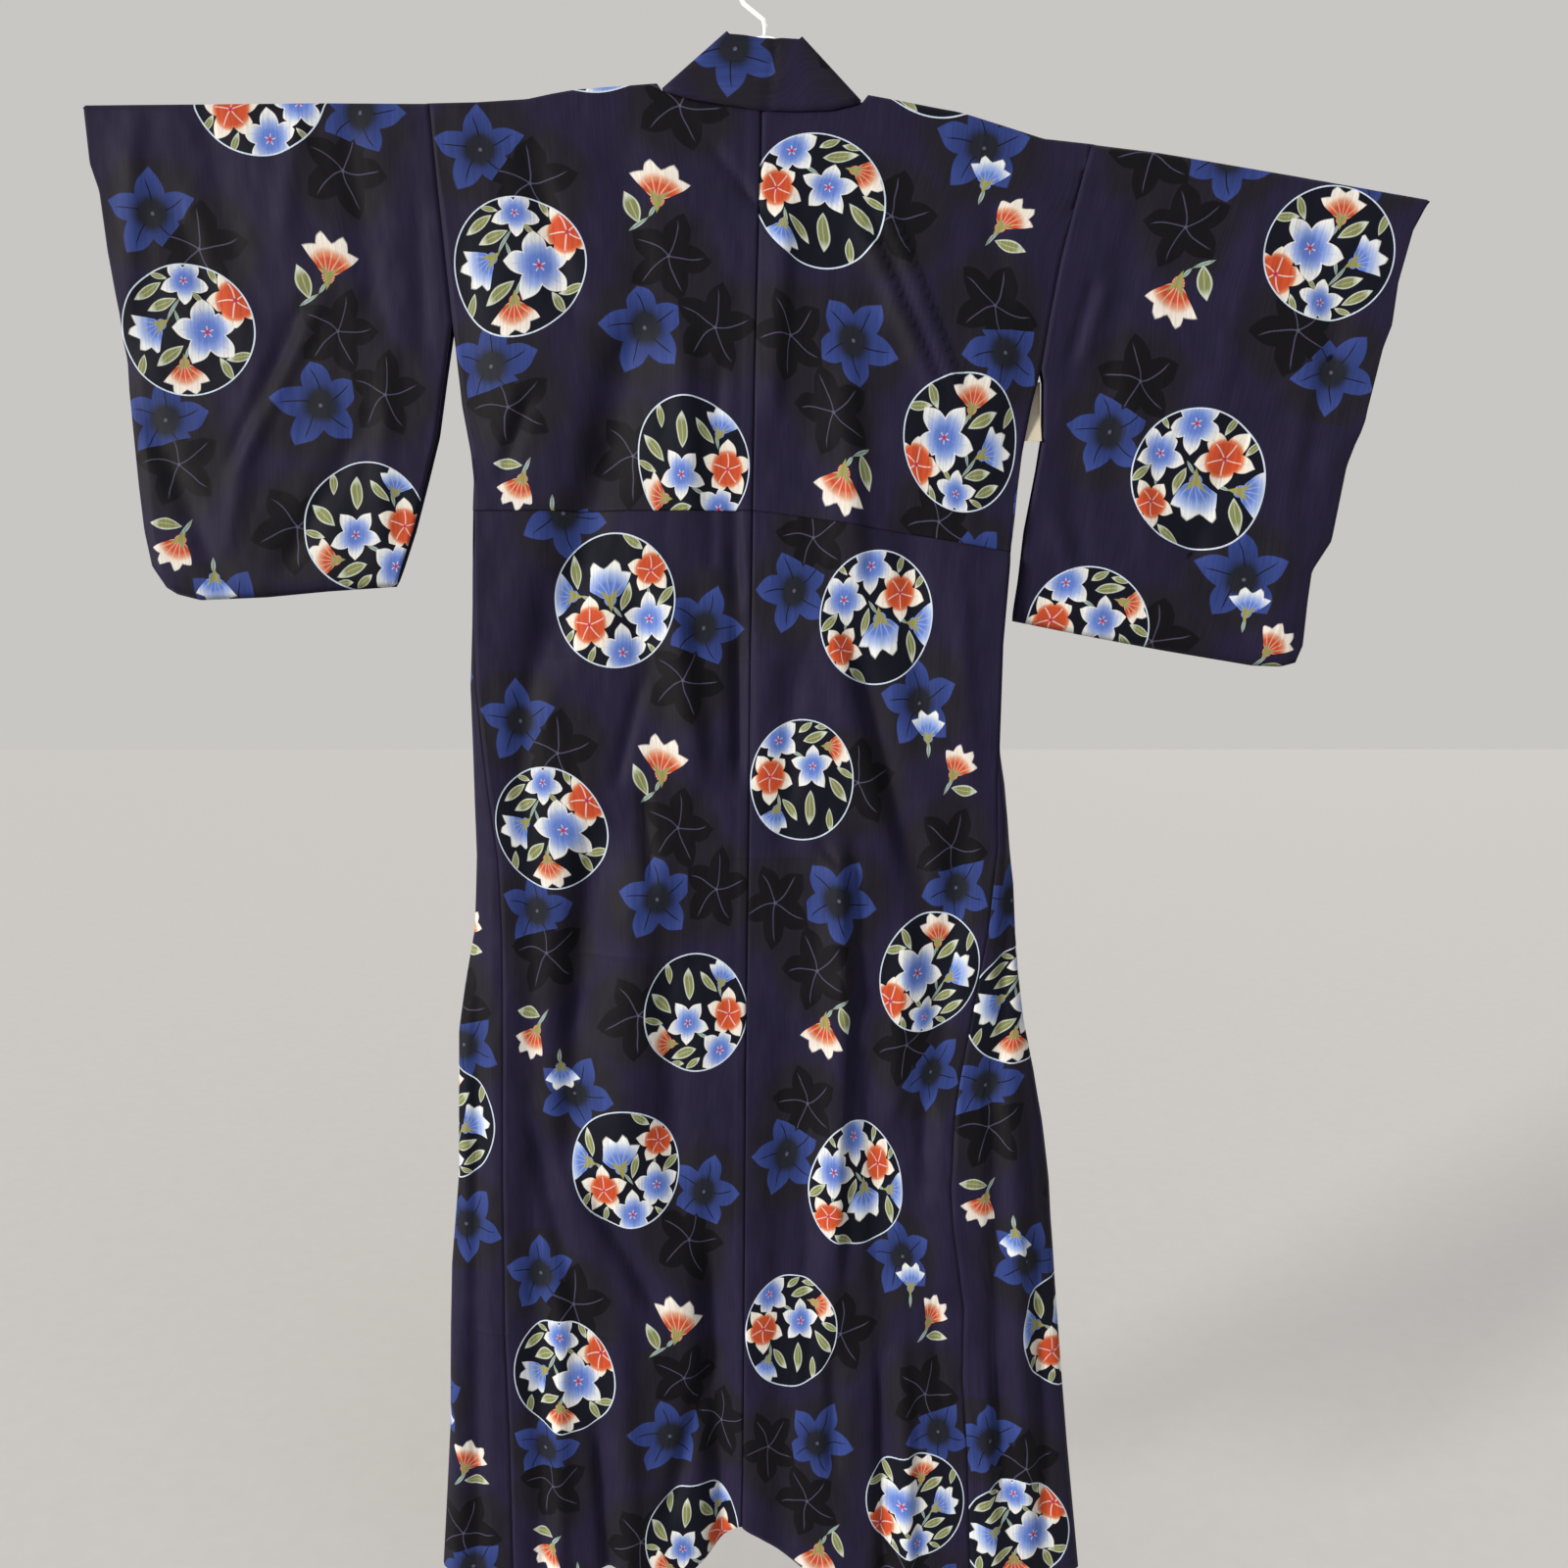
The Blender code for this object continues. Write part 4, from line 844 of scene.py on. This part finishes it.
def makeBody():
    shares = np.concatenate([[0.0, 0.004, 0.009, 0.016, 0.026, 0.034],
                             np.linspace(0.042, robe["neckShare"], 17)[:-1],
                             np.linspace(robe["neckShare"], 1.0, 40)])
    columns = np.concatenate([np.linspace(0, 4, 17), np.linspace(4.4, 10, 22)])
    levels = np.arange(-146.0, robe["hem"], -robe["rowStep"])
    pressed = np.array([line[0] for line in pressedLines])
    levels = levels[np.abs(levels[:, None] - pressed).min(axis=1) > 5.0]
    levels = [levels, [robe["hem"]], pressed] + [pressed + d for d in (-4.5, -2.0, 2.0, 4.5)]
    levels = sorted(np.concatenate(levels), reverse=True)
    for side, name in enumerate(sides):
        turned = side == 1
        above = [z for z in levels if z > -516.0]
        # the upper back ends in the folded edge of the tuck, which lies over the lower back
        tuckRows = [lambda s, d=d: tuckHeight(side, s) + d for d in (14.0, 8.0, 4.0, 1.5, 0.0)]
        upperRows = list(robe["archRows"]) + above
        backTop = backGrid(side, upperRows + tuckRows, shares, 0.0, True)
        for j, drop in enumerate((0.15, 0.3, 0.55, 0.8, 0.45)):
            line = backTop[0][len(upperRows) + j]
            backTop[0][len(upperRows) + j] = [(x, y - drop, z) for x, y, z in line]
        frontTop = frontGrid(side, upperRows + [-524.0, -532.0, -540.0], columns)
        shellPiece("upperBody" + name, [(*backTop, turned), (*frontTop, not turned)], robe["clothThick"],
                   "body_" + name.lower())
        lowRows = [lambda s, d=d: tuckHeight(side, s) + d for d in (10.0, 4.0, -2.0)]
        lowRows += [z for z in levels if z < -588.0]
        backLow = backGrid(side, lowRows, shares, 0.7, False)
        shellPiece("lowerBack" + name, [(*backLow, turned)], robe["clothThick"], "body_" + name.lower())
        frontLow = frontGrid(side, [-540.0] + [z for z in levels if z < -545.0], columns)
        shellPiece("lowerFront" + name, [(*frontLow, not turned)], robe["clothThick"],
                   "body_" + name.lower())


makeBody()
print("body panels are made")

# Sleeves

sleeveShape = (   # outlines of the flat bags in mm, each from the shoulder end or inner end
    {"cuff": ((-686, -133), (-683, -190), (-675, -217), (-670, -275), (-661, -338), (-659, -376),
              (-659, -413), (-657, -463), (-655, -509), (-652, -555), (-646, -592), (-632, -614)),
     "bottom": ((-389, -613), (-463, -618), (-527, -624), (-597, -627), (-621, -621), (-632, -614)),
     "below": ((-322, -354), (-330, -398), (-340, -458), (-353, -504), (-368, -555), (-389, -613)),
     "top": ((-337, -131), (-450, -131), (-570, -132), (-686, -133)),
     "creases": ((-478, -330, -552, -475, 9, 2.6, -0.3), (-458, -335, -536, -480, 8, -2.2, 0.3),
                 (-640, -440, -580, -590, 13, 2.6, 0), (-420, -160, -400, -330, 15, 2.2, 0),
                 (-636, -160, -650, -330, 14, -2.2, 0.3), (-420, -450, -500, -585, 14, 2.6, 0),
                 (-600, -230, -560, -350, 13, 2.0, 0), (-350, -240, -352, -360, 9, 2.2, 0),
                 (-470, -150, -490, -260, 13, -1.8, 0), (-560, -150, -540, -300, 16, 2.0, 0),
                 (-520, -400, -560, -560, 15, -2.4, 0.3), (-390, -400, -400, -560, 12, -2.0, 0.2))},
    {"cuff": ((677, -224), (663, -252), (650, -306), (646, -348), (638, -371), (625, -435), (623, -448),
              (609, -489), (597, -566), (578, -597), (575, -628), (572, -675), (565, -693)),
     "bottom": ((263, -649), (338, -664), (424, -680), (520, -696), (550, -697), (565, -693)),
     "below": ((289, -398), (290, -457), (285, -493), (274, -556), (269, -608), (263, -649)),
     "top": ((332, -170), (398, -178), (540, -201), (677, -224)),
     "creases": ((335, -310, 317, -380, 7, 2.8, -0.3), (350, -310, 330, -380, 7, -2.2, 0.3),
                 (380, -230, 350, -420, 14, 2.2, 0), (560, -240, 600, -420, 14, 2.2, 0),
                 (500, -260, 470, -420, 16, -2.2, 0.3), (320, -440, 330, -600, 14, 2.6, 0),
                 (600, -300, 560, -520, 12, 2.4, 0), (430, -540, 500, -660, 15, 2.4, 0),
                 (300, -540, 350, -650, 13, -2.2, 0), (500, -450, 440, -600, 15, 2.2, 0),
                 (380, -400, 400, -560, 13, -2.4, 0.3), (560, -420, 540, -640, 14, -2.2, 0))},
)
sleeveSizes = {
    "halfDepth": 5.6,       # half the sleeve's depth, out to the cuff
    "cuffOpening": 230.0,   # from the shoulder down, below it the outer edge is sewn
    "cuffSeam": 26.0,       # length over which the opening closes
    "bottomBend": 30.0,     # drop over which the two layers meet at the bottom
    "seamRows": (0.95, 0.985, 0.995),    # shares of the width, close together by the sewn edge
    "across": 64,
    "belowRows": 40,
    "frontReach": 5.0,      # how far the front layer stands out at the cuff
    "ridge": 54.0,          # height in the print where the right sleeve folds
    "tilt": 9.4,            # degrees, the right sleeve hangs down to its cuff
}


def pointsAlong(line, wanted):
    line = np.array(line, float)
    run = pathLength(line)
    return np.stack([np.interp(wanted * run[-1], run, line[:, k]) for k in (0, 1)], 1)


def sleeveUv(side, x, z, ridge, front):
    # the bolt runs over the shoulder fold, so the front layer goes on where the back one ends
    right, down = (0.0, 0.0) if front else strayAt(4 + side, x, z)
    x, z = x - right, z + down
    if side == 0:
        u, v, top = x + 594.0, -z - 353.0, 131.0 - 353.0
        return (u, 2.0 * top - v) if front else (u, v)
    tilt = math.radians(sleeveSizes["tilt"])
    away, down = x - 579.0, -(z + 277.0)
    right = away * math.cos(tilt) + down * math.sin(tilt)
    low = -away * math.sin(tilt) + down * math.cos(tilt)
    return (-right, low - 2.0 * ridge) if front else (-right, -low)


def makeSleeve(side):
    sign = signs[side]
    shape, sizes = sleeveShape[side], sleeveSizes
    armhole, depths = [], []
    rows = list(robe["archRows"]) + list(np.arange(-146.0, robe["armholeEnd"][side] + 6.0, -6.0))
    rows.append(robe["armholeEnd"][side])
    for row in rows:
        x, back, front, z = sideEdge(side, row)
        if z < robe["armholeEnd"][side] - 1.0:
            break
        shift = 1.0 - soft(float(row), 0.0, 1.6) if row >= 0 else 0.0
        armhole.append((x + sign * robe["seamGap"] * (1.0 + shift), z))
        depths.append(front)
    below = pointsAlong(shape["below"], np.linspace(0, 1, sizes["belowRows"] + 1))
    inner = np.array(armhole + [tuple(p) for p in below[1:]])
    top = (tuple(inner[0]), *shape["top"][1:])
    bottom = (tuple(inner[-1]), *shape["bottom"][1:])
    depths += [robe["layerHalf"]] * sizes["belowRows"]
    steps = pathLength(inner)
    downShares = steps / steps[-1]
    outer = pointsAlong(shape["cuff"], downShares)
    cuffRun = pathLength(np.array(shape["cuff"], float))[-1]
    acrossShares = np.unique(np.concatenate([np.linspace(0, 1, sizes["across"]), sizes["seamRows"]]))
    upper, lower = pointsAlong(top, acrossShares), pointsAlong(bottom, acrossShares)
    grids = []
    last = len(acrossShares) - 1
    for layer, way in (("back", -1.0), ("front", 1.0)):
        grid, spots = [], []
        for j, t in enumerate(downShares):
            line, marks = [], []
            for i, s in enumerate(acrossShares):
                flat = ((1 - s) * inner[j] + s * outer[j] + (1 - t) * upper[i] + t * lower[i]
                        - (1 - s) * (1 - t) * inner[0] - s * (1 - t) * outer[0]
                        - (1 - s) * t * inner[-1] - s * t * outer[-1])
                down = t * cuffRun
                half = sizes["halfDepth"] + (depths[j] - sizes["halfDepth"]) * (1 - soft(s, 0.0, 0.3))
                if i > 0:
                    half *= archAt(t * steps[-1]) / robe["layerHalf"]
                half *= math.sqrt(1.0 - (1.0 - min((1 - t) * steps[-1] / sizes["bottomBend"], 1.0)) ** 2)
                sewn = soft(down, sizes["cuffOpening"], sizes["cuffOpening"] + sizes["cuffSeam"])
                half *= 1.0 - sewn * (1.0 - float(np.interp(s, (0.95, 0.985, 1.0), (1.0, 0.5, 0.0))))
                if j in (0, len(downShares) - 1):
                    half = 0.0
                fold = foldDepth(flat[0], flat[1], shape["creases"])
                fold *= min(half / sizes["halfDepth"], 1.0) * soft(s, 0.0, 0.08)
                reach = 0.0
                if layer == "front":
                    reach = sizes["frontReach"] * s * (1 - t * 0.4) * soft(s, 0.9, 1.0) * (1 - sewn)
                    reach *= 1.0 if j else 0.0
                y = way * half - fold * way * (0.6 if way > 0 else 1.0)
                line.append((flat[0] + sign * reach, y, flat[1]))
                marks.append(sleeveUv(side, flat[0], flat[1], sizes["ridge"], layer == "front"))
            grid.append(line)
            spots.append(marks)
        grids.append((grid, spots, (side == 1) == (layer == "back")))
    shellPiece("sleeve" + sides[side], grids, robe["clothThick"], "sleeve_" + sides[side].lower())


for side in (0, 1):
    makeSleeve(side)
print("sleeves are made")

# Overlap panels and collar

collarShape = {
    "top": ((-34, -67), (-20, -68), (-1, -71), (19, -71), (36, -72)),
    "widthTop": 58.0,
    "widthEnd": 64.0,
    "thick": 2.2,                  # the band is folded over, two layers and their turned edges
    "across": 10,
    "rowStep": 12.0,
    "backFrom": -99.0,             # the band stands straight across the neck between these
    "backTo": 95.0,
    "bendTurns": (-50, 55),        # degrees, the fold beside the neck
    "blendOver": 90.0,             # length over which the print turns at that fold
    "creaseDepth": 2.2,
    "edgeLap": (1.1, 1.6),         # its sewn edge laps over the body, out and down
    "printAt": (121.0, 75.0),      # the big blue flower that shows at the back of the neck
    "flowerAt": (-29.0, -80.6),    # where its middle lies, x and z
    "backStations": 33,
    "bendStations": 10,
}


overlapShape = {"rowStep": 12.0, "columns": 17, "least": 3.0, "ripple": 1.2, "rippleLength": 70.0}


def makeOverlap(side):
    sign = signs[side]
    startU, leftV, rightV = bolt["overlap"]
    grid, spots = [], []
    for z in list(np.arange(robe["kensaki"], robe["hem"], -overlapShape["rowStep"])) + [robe["hem"]]:
        seam = lookup(frontRows[side], z, 1) - sign * robe["seamGap"] / 2
        edge = lookup(frontRows[side], z, 2)
        if z >= robe["collarEnd"]:
            edge += sign * robe["seamGap"] / 2
        if abs(edge - seam) < overlapShape["least"]:
            edge = seam - sign * overlapShape["least"]
        line, marks = [], []
        for share in np.linspace(0.0, 1.0, overlapShape["columns"]):
            x = seam + (edge - seam) * share
            wave = math.sin(z / overlapShape["rippleLength"] + 2.0 * side) * math.sin(math.pi * share) ** 2
            line.append((x, robe["frontDepth"][side] + overlapShape["ripple"] * wave, z))
            marks.append((startU + abs(x - seam), -z - rightV if side else z + leftV))
        grid.append(line)
        spots.append(marks)
    shellPiece("overlap" + sides[side], [(grid, spots, side == 1)], robe["clothThick"],
               "okumi_" + sides[side].lower())


def collarStations():
    stations = []
    fronts = []
    for side in (0, 1):
        sign = signs[side]
        topZ = shoulders[side][0, 1]
        made = []
        for z in np.concatenate([topZ - np.array((7.0, 10.0, 14.0)),
                                 np.arange(topZ - 22.0, robe["collarEnd"], -collarShape["rowStep"]),
                                 [robe["collarEnd"]]]):
            run = (topZ - z) / (topZ - robe["collarEnd"])
            width = collarShape["widthTop"] + (collarShape["widthEnd"] - collarShape["widthTop"]) * run
            x = lookup(frontRows[side], z, 2 if z <= robe["kensaki"] else 1)
            y = frontDepthAt(side, topZ - z)
            made.append(((x - sign * robe["seamGap"], y, z),
                         (x - sign * (robe["seamGap"] + width), y, z + width * 0.12)))
        fronts.append(made)
    xs = np.linspace(collarShape["backFrom"], collarShape["backTo"], collarShape["backStations"])
    tops = pointsAlong(collarShape["top"], np.linspace(0, 1, len(xs)))
    back = [((x, -robe["layerHalf"], across(backNeck, x) + robe["seamGap"]),
             (top[0], -robe["layerHalf"] + 1.0, top[1])) for x, top in zip(xs, tops)]

    def bend(side):
        # the diagonal fold beside the neck, from the back band to the front one
        low, high = (np.array(p) for p in back[0 if side == 0 else -1])
        out = np.array((-0.62 if side == 0 else 0.62, 0.0, 0.78))
        ring = []
        for angle in np.linspace(*collarShape["bendTurns"], collarShape["bendStations"]):
            turn = math.radians(angle)
            shift = out * robe["layerHalf"] * math.cos(turn) * 0.6
            shift = shift + np.array((0.0, robe["layerHalf"] * math.sin(turn), 0.0))
            ring.append((tuple(low * (1, 0, 1) + shift), tuple(high * (1, 0, 1) + shift)))
        return ring

    return fronts[0][::-1] + bend(0)[::-1] + back + bend(1) + fronts[1]


def collarPrint(share, past, x, z, onBack):
    # the band is cut along the bolt, so on the back of the neck its print lies on its side
    middleU, middleV = collarShape["printAt"]
    flowerX, flowerZ = collarShape["flowerAt"]
    u = middleU - 27.0 * soft(past, 15.0, 75.0)
    if onBack:
        return np.array((u + z - flowerZ, middleV + x - flowerX))
    return np.array((u + (share - 0.88) * 60.0, middleV + past + 38.0))


def makeCollar():
    grid, spots = [], []
    stations = collarStations()
    middles = np.array([np.array(seam) for seam, free in stations])
    run = pathLength(middles)
    centre = run[int(np.argmin(np.abs(middles[:, 0] + 3.0) + np.abs(middles[:, 1] + 6.0) * 20))]
    start = int(np.argmax(middles[:, 2] > shoulders[0][0, 1] - 8.0)) + collarShape["bendStations"]
    stop = start + collarShape["backStations"] - 1
    for j, (seam, free) in enumerate(stations):
        seam, free = np.array(seam), np.array(free)
        line, marks = [], []
        nearest = min(max(j, start), stop)
        away = 1.0 - soft(abs(run[j] - run[nearest]), 0.0, collarShape["blendOver"])
        edgeSeam, edgeFree = (np.array(p) for p in stations[nearest])
        for share in np.linspace(0.0, 1.0, collarShape["across"] + 1):
            x, y, z = seam + (free - seam) * share
            edgeX, edgeY, edgeZ = edgeSeam + (edgeFree - edgeSeam) * share
            past, edgePast = run[j] - centre, run[nearest] - centre
            turned = (collarPrint(share, edgePast, edgeX, edgeZ, True)
                      - collarPrint(share, edgePast, 0, 0, False))
            marks.append(tuple(collarPrint(share, past, x, z, False) + away * turned))
            if y < -5.0:      # the pressed crease right of the middle of the neck
                y += collarShape["creaseDepth"] * math.exp(-((x - 3.0 - 10.0 * share) / 4.0) ** 2)
                over = max(0.0, 1.0 - share / 0.15)
                y, z = y - collarShape["edgeLap"][0] * over, z - collarShape["edgeLap"][1] * over
            line.append((x, y, z))
        grid.append(line)
        spots.append(marks)
    shellPiece("collarBand", [(grid, spots, True)], collarShape["thick"], "collar")


for side in (0, 1):
    makeOverlap(side)
makeCollar()
print("overlap panels and collar are made")

# Hanger and label


def makePlastic():
    # injection-moulded polypropylene: white, slightly see-through look, soft satin gloss
    made, add, shader = newMaterial("mouldedPolypropylene")
    place = add("TexCoord", output=3)
    clouding = add("TexNoise", {"Vector": place, "Scale": 30.0, "Detail": 3.0})
    tint = add("Mix", {0: clouding, 6: "#e6e6e2", 7: "#f1f1ee"}, 2, data_type="RGBA")
    gloss = add("MapRange", (clouding, 0.0, 1.0, 0.32, 0.46))
    flow = add("TexNoise", {"Vector": place, "Scale": 180.0, "Detail": 2.0})
    bump = add("Bump", {"Strength": 0.05, "Distance": 0.0004, "Height": flow})
    setInputs(shader, {"Base Color": tint, "Roughness": gloss, "Normal": bump, "IOR": 1.49,
                       "Subsurface Weight": 0.15, "Subsurface Radius": (0.004, 0.004, 0.004)})
    return made


def makeTape():
    # woven polyester label tape, cream, with a fine rib across; its colour is mixed darker than cream, a grey
    # tan, as painted shade for the shadow the label hangs in
    made, add, shader = newMaterial("wovenTape")
    place = add("TexCoord", output=3)
    ribs = add("TexWave", {"Vector": place, "Scale": 160.0, "Distortion": 0.3}, bands_direction="Z")
    tapeMottle = add("TexNoise", {"Vector": place, "Scale": 60.0})
    # painted shade: both colours are darkened from the tape's cream for the shadow it hangs in, and the noise
    # only varies the tone between them
    tint = add("Mix", {0: tapeMottle, 6: "#a39986", 7: "#b5ab98"}, 2, data_type="RGBA")
    bump = add("Bump", {"Strength": 0.3, "Distance": 0.0003, "Height": ribs})
    setInputs(shader, {"Base Color": tint, "Normal": bump, "Roughness": 0.7})
    return made


def finishSolids():
    plastic, tape = makePlastic(), makeTape()
    for name, look in (("hanger_arms", plastic), ("hanger_hook", plastic), ("label", tape)):
        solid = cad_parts[name]
        solid.material_slots[0].material = look
    print("hanger and label are finished")


finishSolids()
